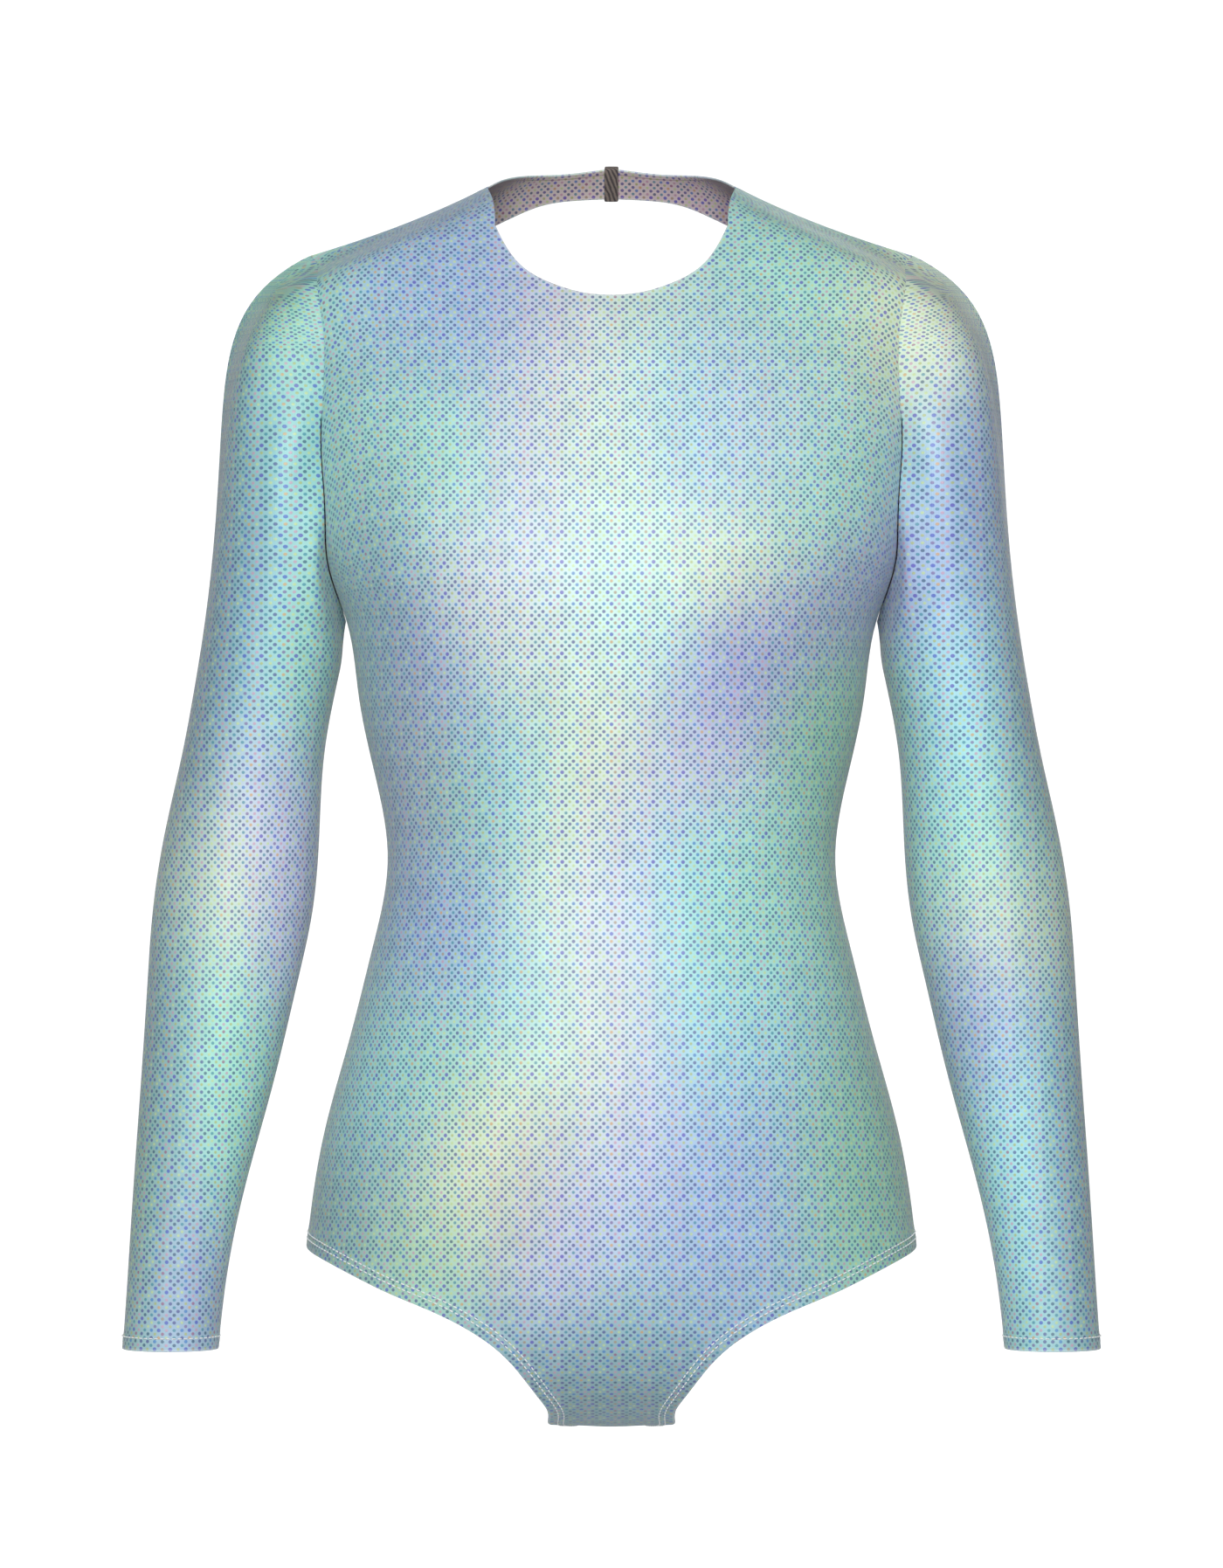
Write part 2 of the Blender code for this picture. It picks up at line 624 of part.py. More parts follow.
def tube_quads(rings):
    """Quads of a closed tube of rings."""
    count, around = rings.shape[:2]
    ids = np.arange(count * around).reshape(count, around)
    return grid_quads(np.concatenate([ids, ids[:, :1]], axis=1))


def cloth_material(name, colour):
    """Slightly glossy stretch cloth."""
    material = bpy.data.materials.new(name)
    material.use_nodes = True
    shader = material.node_tree.nodes["Principled BSDF"]
    shader.inputs["Base Color"].default_value = colour
    shader.inputs["Roughness"].default_value = 0.5
    shader.inputs["Metallic"].default_value = 0.0
    material.diffuse_color = colour
    return material


def add_piece(name, points, faces, colour):
    """Make one closed piece from points in millimetres."""
    faces = face_outwards(points, faces)
    mesh = bpy.data.meshes.new(name)
    mesh.from_pydata((points * MM).tolist(), [], faces.tolist())
    mesh.update()
    mesh.materials.append(cloth_material(name, colour))
    piece = bpy.data.objects.new(name, mesh)
    bpy.context.scene.collection.objects.link(piece)
    return piece


def make_front(form):
    """Front in one piece, from the shoulders to the crotch seam."""
    points, normals = panel_surface(form, "front", front_grid(form))
    add_piece("front", *walled(*whole_panel(points, normals)), CLOTH_COLOUR)


def make_back(form):
    """Back in one piece, with the keyhole under the neck band."""
    grid = back_grid(form)
    points, normals = panel_surface(form, "back", grid)
    split_rows = JOINT_ROWS + KEYHOLE_ROWS
    add_piece("back", *walled(*whole_panel(points, normals, split_rows)), CLOTH_COLOUR)


def make_band(form):
    """Neck band from one shoulder seam to the other."""
    points, normals = panel_surface(form, "back", band_grid(form))
    add_piece("back_neckband", *walled(*whole_panel(points, normals)), BAND_COLOUR)


def make_sleeves(form):
    """Two sleeves, mirror images of each other."""
    rings, seam_out = sleeve_surface(form)
    normals = tube_normals(rings)
    alike = np.einsum("ij,ij->i", normals[0], seam_out) > 0
    normals[0] = np.where(alike[:, None], seam_out, normals[0])
    quads = tube_quads(rings)
    for name, side in (("sleeve_left", 1), ("sleeve_right", -1)):
        flip = np.array([side, 1, 1])
        points = rings.reshape(-1, 3) * flip
        vectors = normals.reshape(-1, 3) * flip
        add_piece(name, *walled(points, vectors, quads), CLOTH_COLOUR)


def make_loop(form):
    """Closure loop: a flat strip that closes round the band at the centre back."""
    grid = band_grid(form)[:, -1]
    points, normals = panel_surface(form, "back", grid[None])
    top = points[0, 0]
    bottom = points[0, -1]
    out = normals[0].mean(axis=0)
    out = out / np.linalg.norm(out)
    up = (top - bottom) / np.linalg.norm(top - bottom)
    middle = (top + bottom) / 2 - out * WALL / 2
    length = np.linalg.norm(top - bottom) / 2 + SEAM_GAP
    depth = WALL / 2 + LOOP_EASE
    angles = np.linspace(0, np.pi / 2, LOOP_ROUND)
    corners = ((1, 1), (-1, 1), (-1, -1), (1, -1))
    inner = []
    outer = []
    for place, (up_side, out_side) in enumerate(corners):
        turn = place * np.pi / 2 + angles
        for angle in turn:
            corner = middle + up * up_side * length + out * out_side * depth
            inner.append(corner)
            outer.append(corner + LOOP_WALL * (np.cos(angle) * up + np.sin(angle) * out))
    inner = np.array(inner)
    outer = np.array(outer)
    half = np.array([LOOP_WIDTH / 2, 0, 0])
    rings = np.array([outer - half, outer + half, inner + half, inner - half])
    count = rings.shape[1]
    ids = np.arange(4 * count).reshape(4, count)
    ids = np.concatenate([ids, ids[:1]])
    ids = np.concatenate([ids, ids[:, :1]], axis=1)
    add_piece("closure_loop", rings.reshape(-1, 3), grid_quads(ids), LOOP_COLOUR)


def main():
    for thing in list(bpy.data.objects):
        bpy.data.objects.remove(thing, do_unlink=True)
    form = Form()
    make_front(form)
    make_back(form)
    make_band(form)
    make_sleeves(form)
    make_loop(form)


main()
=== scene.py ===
"""Looks of a long-sleeved leotard with an open back, filled out as worn with nobody in it.

Each piece of cloth is a thin shell on the same worn form as its solid, with turned edges, a
lattice of small printed dots and soft pools of shimmering colour, with a painted highlight
down the front and painted shade at the sides. Lengths in the tables are millimetres. x there
is the distance from the middle plane, -Y is the front and +Z is up.
"""

import bpy
import numpy as np
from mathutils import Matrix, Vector


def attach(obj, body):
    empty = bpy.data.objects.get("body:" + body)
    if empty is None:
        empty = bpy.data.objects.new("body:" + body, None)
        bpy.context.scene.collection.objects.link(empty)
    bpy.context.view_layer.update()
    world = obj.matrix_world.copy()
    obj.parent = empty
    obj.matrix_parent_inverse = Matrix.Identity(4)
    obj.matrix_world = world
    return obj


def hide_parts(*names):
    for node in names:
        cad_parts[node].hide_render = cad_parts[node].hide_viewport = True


bl_info = {
    "name": "Long-sleeved leotard",
    "version": (1, 0, 0),
    "blender": (4, 5, 0),
    "location": "3D View > Sidebar > Leotard",
    "description": "Sews the cloth, hems and stitches of a dotted leotard round its frame",
    "category": "Mesh",
}

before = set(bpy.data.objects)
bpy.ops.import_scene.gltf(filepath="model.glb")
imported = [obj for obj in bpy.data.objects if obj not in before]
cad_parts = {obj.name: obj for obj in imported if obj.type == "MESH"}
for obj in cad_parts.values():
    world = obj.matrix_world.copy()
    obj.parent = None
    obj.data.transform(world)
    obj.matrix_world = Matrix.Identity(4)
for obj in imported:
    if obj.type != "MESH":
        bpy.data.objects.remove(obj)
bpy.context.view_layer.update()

MM = 0.001
BODY = "root"

# The worn form, one row for each section from the shoulder line to the crotch seam.
# side: the section's point on the side line, which it leaves inwards by lean and up by lift.
# front and back: its points on the centre lines. fill: how much of the way to the centre's
# depth it runs beside the side line. flat: the share of the half width over which it stays
# level at the centre line. drop: how much it falls there.
SECTION_COLUMNS = (
    "name", "side_x", "side_y", "side_z", "lean", "lift",
    "front_y", "front_z", "fill_front", "flat_front", "drop_front",
    "back_y", "back_z", "fill_back", "flat_back", "drop_back",
)
SECTIONS = (
    ("shoulder line", 192, 4, -46, 60, 17, 5, 40, 0.5, 0.39, 52, 5, 40, 0.5, 0.39, 52),
    ("yoke", 186, 2, -62, 26, 10, -18, -2, 1.9, 0.34, 5, 38, 31, 1.25, 0.355, 22),
    ("upper chest", 178, 0, -92, 15, 12, -60, -62, 0.80, 0.42, 1, 70, 5, 0.68, 0.425, 10),
    ("armhole middle", 170, 0, -121, 6, 3, -86, -114, 0.68, 0.54, 0, 85, -50, 0.62, 0.54, 6),
    ("chest", 164, 0, -160, 2, 0, -103, -160, 0.64, 0.59, 0, 94, -115, 0.62, 0.57, 6),
    ("lower chest", 156, 0, -203, 0, 0, -113, -203, 0.60, 0.62, 0, 96, -180, 0.60, 0.58, 4),
    ("underarm", 142.4, 0, -235, 0, 0, -114, -237, 0.58, 0.62, 0, 95, -228, 0.58, 0.58, 2),
    ("ribs", 135.8, 0, -276, 0, 0, -107, -278, 0.57, 0.60, 0, 89, -272, 0.57, 0.58, 0),
    ("above waist", 126.6, 0, -320, 0, 0, -95, -322, 0.56, 0.58, 0, 79, -318, 0.56, 0.58, 0),
    ("waist", 120.4, 0, -363, 0, 0, -88, -365, 0.56, 0.57, 0, 73, -362, 0.56, 0.58, 0),
    ("high hip", 128.8, 1, -411, 0, 0, -92, -412, 0.56, 0.57, 0, 79, -411, 0.56, 0.58, 0),
    ("belly", 141.2, 2, -460, 0, 0, -99, -461, 0.56, 0.57, 0, 96, -460, 0.56, 0.58, 0),
    ("hip", 155.8, 3, -515, 0, 0, -104, -516, 0.56, 0.57, 0, 114, -515, 0.56, 0.58, 0),
    ("leg corner", 163.9, 4, -570, 0, 0, -102, -568, 0.56, 0.57, 0, 118, -569, 0.56, 0.58, 0),
    ("groin", 166, 5, -604, 0, 0, -93, -605, 0.56, 0.57, 0, 111, -607, 0.56, 0.58, 0),
    ("under belly", 158, 5, -642, 0, 0, -76, -634, 0.56, 0.57, 0, 92, -636, 0.56, 0.58, 0),
    ("low front", 118, 5, -660, 0, 0, -50, -655, 0.45, 0.50, 0, 62, -656, 0.45, 0.50, 0),
    ("crotch rise", 92, 5, -664, 0, 0, -24, -665, 0.40, 0.45, 0, 32, -665, 0.40, 0.45, 0),
    ("crotch seam", 80, 5, -657, 30, 0, 5, -668, 0.40, 0.30, 0, 5, -668, 0.40, 0.30, 0),
)
UNDERARM_ROW = "underarm"
LEG_ROW = "leg corner"

# Which way the cloth leaves the shoulder line and reaches the crotch seam, as millimetres of
# x, y and z for each millimetre of run, at the side line and at the centre line
SHOULDER_SIDE_RUN = (-0.25, -0.05, -0.9)
SHOULDER_TIP_RUN = {"front": (0, -0.95, -0.30), "back": (0, 0.95, -0.30)}
NECK_RUN = {"front": (0, -0.90, -0.45), "back": (0, 0.95, 0.10)}
CROTCH_SIDE_RUN = (-0.6, 0, 0)
CROTCH_RUN = {"front": (0, 1, 0), "back": (0, -1, 0)}

# Edges of the pieces on that form, from the front: distance from the middle, then height
SHOULDER_TIP_X = 162.0
NECK_POINT_X = 67.0
BAND_END_X = 84.0
ARMHOLE = {
    "front": ((157.5, -56), (153.5, -88), (154.3, -118), (154.6, -149), (152.6, -182),
              (150.9, -208)),
    "back": ((157.5, -56), (153.0, -88), (152.0, -118), (152.0, -149), (151.0, -182),
             (149.5, -208)),
}
NECKLINE = ((65.8, -14.4), (62.7, -23), (57.4, -34.2), (50.5, -44.2), (40.5, -52.3),
            (30.1, -57.2), (19.4, -60.8), (9, -62.7), (0, -63.2))
LEG_EDGE = ((154.2, -575.4), (136.8, -583.0), (118.6, -591.0), (97.3, -599.2), (77.4, -608.6),
            (64.0, -617.4), (53.1, -627.6), (45.8, -637), (39.0, -646.8), (33.3, -657.6))
CROTCH_HALF_WIDTH = 26.0
BAND_FREE_EDGE = ((64, -16.6), (53, -11.2), (42, -6.5), (31, -3.6), (20, -2.3), (9, -1.6),
                  (0, -1.3))
KEYHOLE = ((70.5, -27), (75, -45), (76, -68), (73.5, -92), (66, -118), (54, -141), (38, -160),
           (20, -172), (0, -176))
# The band's upper edge from above: distance from the middle, then depth
BAND_UPPER_EDGE = ((64.6, 22), (58.2, 38), (47.4, 50), (28.5, 60), (0, 64))

# Sleeve below the armhole: height, outer and inner edge from the front, depth, middle's depth
SLEEVE_COLUMNS = ("height", "outer_x", "inner_x", "half_depth", "middle_y")
SLEEVE = (
    (-262, 223.0, 146.4, 45, 2),
    (-305, 230.8, 154.4, 42, 1),
    (-350, 240.6, 157.2, 40, 0),
    (-392, 246.8, 161.0, 40, -2),
    (-428, 249.2, 168.5, 38.5, -6),
    (-483, 252.4, 181.4, 34, -13),
    (-540, 256.0, 196.6, 29.5, -21),
    (-590, 258.8, 206.2, 27, -28),
    (-623, 260.8, 209.8, 26.5, -32),
)
# The cap's direction where it leaves the armhole, as x and z, at the shoulder tip and under the
# arm, and how far it turns to the front and the back between them
CAP_LEAVES_OUTER = (0.89, -0.45)
CAP_LEAVES_INNER = (0.22, -0.97)
CAP_LEAVES_DEPTH = 0.45
# How long the cap keeps its direction at the armhole and at the arm, as shares of its run
CAP_START_OUTER = 0.32
CAP_START_INNER = 0.26
CAP_END_OUTER = 0.63
CAP_END_INNER = 0.42

# Grid cells across half a panel and down its levels, and round and down a sleeve
HALF_COLUMNS = 52
SHOULDER_SHARE = 0.385
BAND_SHARE = 0.155
ARMHOLE_ROWS = 64
JOINT_SHARE = 0.25
KEYHOLE_SHARE = 0.625
BODY_ROWS = 56
LEG_ROWS = 52
BAND_ROWS = 10
BAND_COLUMNS = 56
BAND_JOINT_SHARE = 0.46
CAP_RINGS = 30
ARM_RINGS = 76
# Where the first cell beside an edge is cut once more, so that the turned edge stays narrow
EDGE_CUT = 0.14
ROUND_STEPS = 4

# Search for a point of the form: how far from the one before it, on what net of shares and
# runs, how much a far one counts against itself, then how many steps of what size at most
NET_REACH = 70.0
NET_SHARES = 40
NET_RUNS = 61
NET_PULL = 0.05
SEARCH_STEPS = 20
SEARCH_STRIDE = (0.05, 8.0)
SLOPE_SHARE = 1e-4
SLOPE_RUN = 0.05
LINE_POINTS = 2001
PATH_POINTS = 400
MEASURE_POINTS = 32
# Height over which the print's measure blends, and the least share of a normal counted in a slant
MEASURE_BLEND = 45.0
STEEPEST = 0.3

# One repeat of the print is 16 mm square, eight rows of four dots
REPEAT = 16.0
DOT_CHART = (
    "teal blue slate pale", "tan violet olive blue", "mauve pink dark teal",
    "dark slate slate sea", "amber pale teal slate", "rose slate dark olive",
    "blue pink teal sea", "pink olive pale mauve",
)
# Each dot's colour on the cloth, and its size from 0 to 1
DOTS = {
    "teal": ((70, 142, 162), 0.55), "blue": ((78, 88, 192), 0.95), "slate": ((84, 84, 148), 0.75),
    "pale": ((196, 216, 150), 0.40), "tan": ((170, 148, 120), 0.55), "violet": ((96, 74, 184), 1.0),
    "olive": ((176, 186, 112), 0.40), "mauve": ((130, 106, 160), 0.60), "pink": ((200, 156, 180), 0.45),
    "dark": ((62, 92, 120), 0.65), "sea": ((72, 130, 196), 0.70), "amber": ((208, 164, 108), 0.55),
    "rose": ((156, 100, 132), 0.60),
}

# Colours of the shimmer; glow is a painted highlight, and slate serves both for print and for painted shade
POOL_COLOURS = {
    "periwinkle": (142, 170, 226), "lavender": (192, 190, 236), "pale lavender": (188, 204, 236),
    "lavender pink": (214, 196, 234), "violet": (146, 148, 216), "mauve": (160, 154, 206),
    "cream": (224, 234, 194), "cream green": (196, 236, 198), "green": (130, 208, 166),
    "mint": (152, 228, 204), "aqua": (150, 224, 234), "sea aqua": (118, 198, 200),
    "teal blue": (110, 170, 194), "slate": (112, 160, 176), "tan": (190, 190, 180),
    "glow": (228, 244, 236), "blue violet": (148, 162, 218),
}
# Colour between the pools, how strongly it counts against them, and how much they spread
GROUND_COLOUR = (150, 218, 212)
GROUND_WEIGHT = 0.28
POOL_SPREAD = 1.3
# Painted shade: how much darker the colour is painted where the cloth turns to the sides
SIDE_PAINTED_SHADE = 0.16
# Where each pool of colour lies, from the front; a few pools are painted light, as marked below
POOL_COLUMNS = ("colour", "x", "z", "half_width", "half_height", "lean")
POOLS = (
    ("periwinkle", -75, -60, 42, 40, 0.2),
    ("lavender pink", -28, -66, 20, 42, -0.1),
    ("lavender pink", -38, -164, 20, 48, -0.2),
    ("lavender pink", -66, -229, 20, 38, -0.4),
    ("violet", -94, -267, 20, 36, -0.3),
    ("mauve", -110, -314, 20, 36, 0.0),
    ("cream", 0, -62, 24, 38, 0.0),
    # Painted highlight: the glow pools down the middle of the front
    ("glow", 2, -130, 26, 60, 0.0),
    ("glow", 4, -240, 26, 50, -0.2),
    ("glow", -8, -370, 20, 60, 0.0),
    ("cream green", -9, -182, 22, 58, -0.2),
    ("cream green", -52, -258, 22, 38, -0.4),
    ("green", -85, -323, 20, 38, -0.2),
    ("aqua", 28, -112, 24, 44, -0.3),
    ("aqua", 9, -229, 24, 48, -0.4),
    ("aqua", -47, -323, 26, 44, -0.4),
    ("pale lavender", 70, -131, 34, 44, 0.0),
    ("mint", -103, -154, 34, 44, 0.0),
    ("mint", 113, -170, 30, 44, 0.0),
    ("cream", 154, -74, 26, 30, 0.0),
    ("mint", 100, -62, 30, 34, 0.0),
    ("cream", 63, -210, 30, 26, 0.0),
    ("violet", 146, -212, 22, 24, 0.3),
    ("violet", 108, -232, 26, 22, 0.3),
    ("violet", 75, -253, 26, 22, 0.3),
    ("violet", 56, -278, 24, 24, 0.3),
    ("green", 113, -278, 24, 34, 0.0),
    ("lavender pink", 47, -309, 22, 28, 0.2),
    ("lavender", 5, -352, 18, 38, 0.2),
    ("lavender", 0, -399, 18, 38, 0.0),
    ("lavender", 14, -488, 18, 48, -0.1),
    ("lavender", -23, -560, 20, 40, 0.2),
    ("cream", -5, -314, 20, 34, 0.2),
    ("cream", -23, -352, 20, 38, 0.2),
    ("cream", -9, -441, 20, 48, -0.1),
    ("cream", -66, -507, 22, 42, 0.4),
    ("cream", -94, -535, 22, 32, 0.4),
    ("periwinkle", -85, -392, 24, 40, 0.0),
    ("aqua", 38, -370, 26, 34, 0.0),
    ("mint", 72, -389, 28, 40, 0.0),
    ("mint", -94, -474, 26, 34, 0.3),
    ("aqua", -126, -490, 22, 34, 0.0),
    ("aqua", -40, -430, 22, 34, 0.0),
    ("periwinkle", 59, -540, 32, 56, 0.0),
    ("aqua", 60, -450, 30, 34, 0.0),
    ("tan", -47, -535, 20, 34, 0.2),
    ("green", 132, -525, 26, 44, 0.0),
    ("green", -110, -560, 24, 24, 0.0),
    ("slate", 0, -640, 60, 30, 0.0),
    ("slate", -126, -545, 22, 40, 0.3),
    # Painted shade: narrow darker pools down the side lines
    ("sea aqua", -134, -300, 14, 60, 0.0),
    ("slate", -120, -215, 16, 50, 0.0),
    ("green", 128, -340, 14, 60, 0.0),
    ("green", -188, -65, 24, 34, 0.0),
    ("sea aqua", -188, -126, 22, 34, 0.0),
    ("teal blue", -204, -225, 24, 58, 0.0),
    ("mint", -164, -262, 14, 38, 0.0),
    ("lavender", -182, -337, 20, 34, 0.0),
    ("cream", -209, -370, 20, 34, 0.0),
    ("lavender", -170, -389, 18, 34, 0.0),
    ("mint", -208, -470, 18, 52, 0.0),
    # Painted shade: narrow slate pools down the outer sides of the sleeves
    ("slate", -238, -500, 14, 70, 0.0),
    ("slate", -222, -300, 12, 70, 0.0),
    ("slate", -206, -100, 14, 40, 0.0),
    ("green", -252, -556, 12, 48, 0.0),
    ("blue violet", -234, -588, 18, 34, 0.0),
    ("cream", 172, -80, 22, 30, 0.0),
    ("periwinkle", 188, -171, 24, 66, 0.0),
    ("aqua", 192, -276, 24, 48, 0.0),
    ("mint", 211, -347, 22, 34, 0.0),
    ("cream", 214, -394, 22, 28, 0.0),
    ("blue violet", 199, -441, 18, 34, 0.0),
    ("aqua", 218, -523, 18, 66, 0.0),
    # Painted shade: narrow slate pools down the outer sides of the sleeves
    ("slate", 244, -540, 14, 70, 0.0),
    ("slate", 222, -300, 12, 70, 0.0),
)
# On the side away from the camera the same pools lie mirrored and this much higher
BACK_POOL_RISE = 26.0

# Soft creases in the stretched cloth, from the front: two ends, width and depth
# Each crease: face, start x, start z, end x, end z, width, depth
CREASES = (
    ("front", 148, -214, 118, -186, 7, 1.0),
    ("front", -147, -216, -114, -192, 8, 0.9),
    ("front", 144, -232, 112, -226, 8, 0.8),
    ("front", -143, -234, -108, -232, 7, 0.9),
    ("front", 122, -352, 84, -360, 9, 0.8),
    ("front", -121, -356, -78, -350, 8, 0.9),
    ("front", 120, -376, 92, -384, 8, 0.6),
    ("front", -121, -380, -96, -392, 9, 0.5),
    ("front", 154, -566, 96, -560, 10, 0.6),
    ("front", -154, -566, -90, -556, 10, 0.6),
    ("back", 146, -216, 108, -196, 8, 1.1),
    ("back", -146, -214, -112, -190, 7, 1.0),
    ("back", 142, -236, 98, -240, 9, 0.8),
    ("back", -141, -240, -104, -232, 8, 0.9),
    ("back", 118, -352, 40, -344, 9, 1.2),
    ("back", -117, -348, -34, -352, 10, 1.1),
    ("back", 112, -374, 26, -372, 9, 1.0),
    ("back", -116, -380, -52, -370, 8, 1.2),
    ("back", 70, -330, 8, -334, 8, 0.7),
    ("back", 30, -608, 62, -560, 12, 0.8),
    ("back", -28, -612, -66, -566, 12, 0.8),
)
SLEEVE_CREASES = (
    ("front", 150, -250, 176, -228, 8, 1.2),
    ("front", 160, -378, 188, -368, 7, 0.9),
    ("front", 163, -398, 200, -404, 8, 1.1),
    ("front", 172, -420, 196, -430, 7, 0.7),
    ("back", 150, -252, 180, -236, 9, 1.2),
    ("back", 162, -384, 206, -384, 8, 0.8),
    ("back", 166, -404, 214, -412, 9, 0.8),
)
CREASE_FADE = 14.0
CREASES_ON = {
    face: [row for row in CREASES if row[0] == face] for face in ("front", "back")
}

# Gap between pieces on a seam, how far the cloth dips there, and points along each seam line
SEAM_GAP = 0.06
SEAM_DIP = 0.35
SEAM_DIP_WIDTH = 1.3
SEAM_POINTS = 900

# Turned hems: how high the turned part stands, how deep it is, and its rows of stitches
HEM_RELIEF = 0.35
HEM_DEPTH = 9.0
HEM_STITCHES = (5.0, 8.0)
# Width over which the hem's edge rises, and its fade towards a seam
HEM_STEP = 1.2
HEM_FADE = 3
# Part of the leg edge that is stitched, and the points read along it
HEM_SPAN = (0.012, 0.985)
HEM_SPAN_POINTS = 220
# One stitch: share of its length, then its height and its width in radii of the thread
STITCH_SHAPE = (
    (0, -0.55, 0.45), (0.12, 0.1, 0.85), (0.35, 0.5, 1), (0.65, 0.5, 1), (0.88, 0.1, 0.85),
    (1, -0.55, 0.45),
)
THREAD_SIDES = 6
# Cut of the loop's tape: across its half width, and through its thickness
LOOP_OUTLINE = (
    (-1, 0), (-1, 0.6), (-0.86, 1), (0, 1.06), (0.86, 1), (1, 0.6), (1, 0), (0.86, 0), (-0.86, 0),
)
LOOP_TURN_POINTS = 48
# Room between the band and the loop, along the band's height and through its cloth
LOOP_ROOM = (0.3, 0.5)
# Stage, in metres: floor, strength of floor and world as the camera sees them, lights, camera
FLOOR_HALF = 1.3
FLOOR_HEIGHT = -0.72
FLOOR_SEEN = 0.9
WORLD_SEEN = 1.1
# Each light: name, place, size, share of the front light's power
LIGHTS = (("front_light", (-0.1, -2.3, 0.5), 1.2, 1.0), ("back_light", (0.3, 2.4, 0.5), 1.4, 0.3))
LIGHT_AIM = (0, 0, -0.3)
CAMERA_LENS = 170.69
CAMERA_SENSOR = 36
CAMERA_PLACE = (0, -4, -0.3222)
CUFF_STITCHES = 6.5
STITCH_PITCH = 3.2
STITCH_LENGTH = 2.3
THREAD = 0.72
LOOP_WIDTH = 7.5
LOOP_THICKNESS = 1.0

# Flat cut of each piece in metres: width and length, and its area in square metres
CUTS = {
    "front": ((0.40, 0.66), 0.19),
    "back": ((0.42, 0.74), 0.20),
    "back_neckband": ((0.19, 0.03), 0.004),
    "sleeve": ((0.27, 0.58), 0.115),
}


def spline(knots, values, at, first=None, last=None):
    """Cubic spline through the values at the knots, read at some places.

    first and last are its slopes at the ends, and an end without one is left straight.
    """
    knots = np.asarray(knots, float)
    values = np.asarray(values, float)
    shape = values.shape[1:]
    values = values.reshape(len(knots), -1)
    gaps = np.diff(knots)
    rises = np.diff(values, axis=0) / gaps[:, None]
    count = len(knots)
    system = np.zeros((count, count))
    right = np.zeros_like(values)
    inner = np.arange(1, count - 1)
    system[inner, inner - 1] = 1 / gaps[:-1]
    system[inner, inner] = 2 / gaps[:-1] + 2 / gaps[1:]
    system[inner, inner + 1] = 1 / gaps[1:]
    right[1:-1] = 3 * (rises[:-1] / gaps[:-1, None] + rises[1:] / gaps[1:, None])
    for end, slope, beside, rise in ((0, first, 1, rises[0]), (-1, last, -2, rises[-1])):
        system[end, end] = 1 if slope is not None else 2
        system[end, beside] = 0 if slope is not None else 1
        right[end] = np.ravel(slope) if slope is not None else 3 * rise
    slopes = np.linalg.solve(system, right)
    at = np.asarray(at, float)
    span = np.clip(np.searchsorted(knots, at, side="right") - 1, 0, count - 2)
    share = ((at - knots[span]) / gaps[span])[..., None]
    length = gaps[span][..., None]
    read = (
        (1 + 2 * share) * (1 - share) ** 2 * values[span]
        + share * (1 - share) ** 2 * length * slopes[span]
        + share ** 2 * (3 - 2 * share) * values[span + 1]
        + share ** 2 * (share - 1) * length * slopes[span + 1]
    )
    return read.reshape(at.shape + shape)


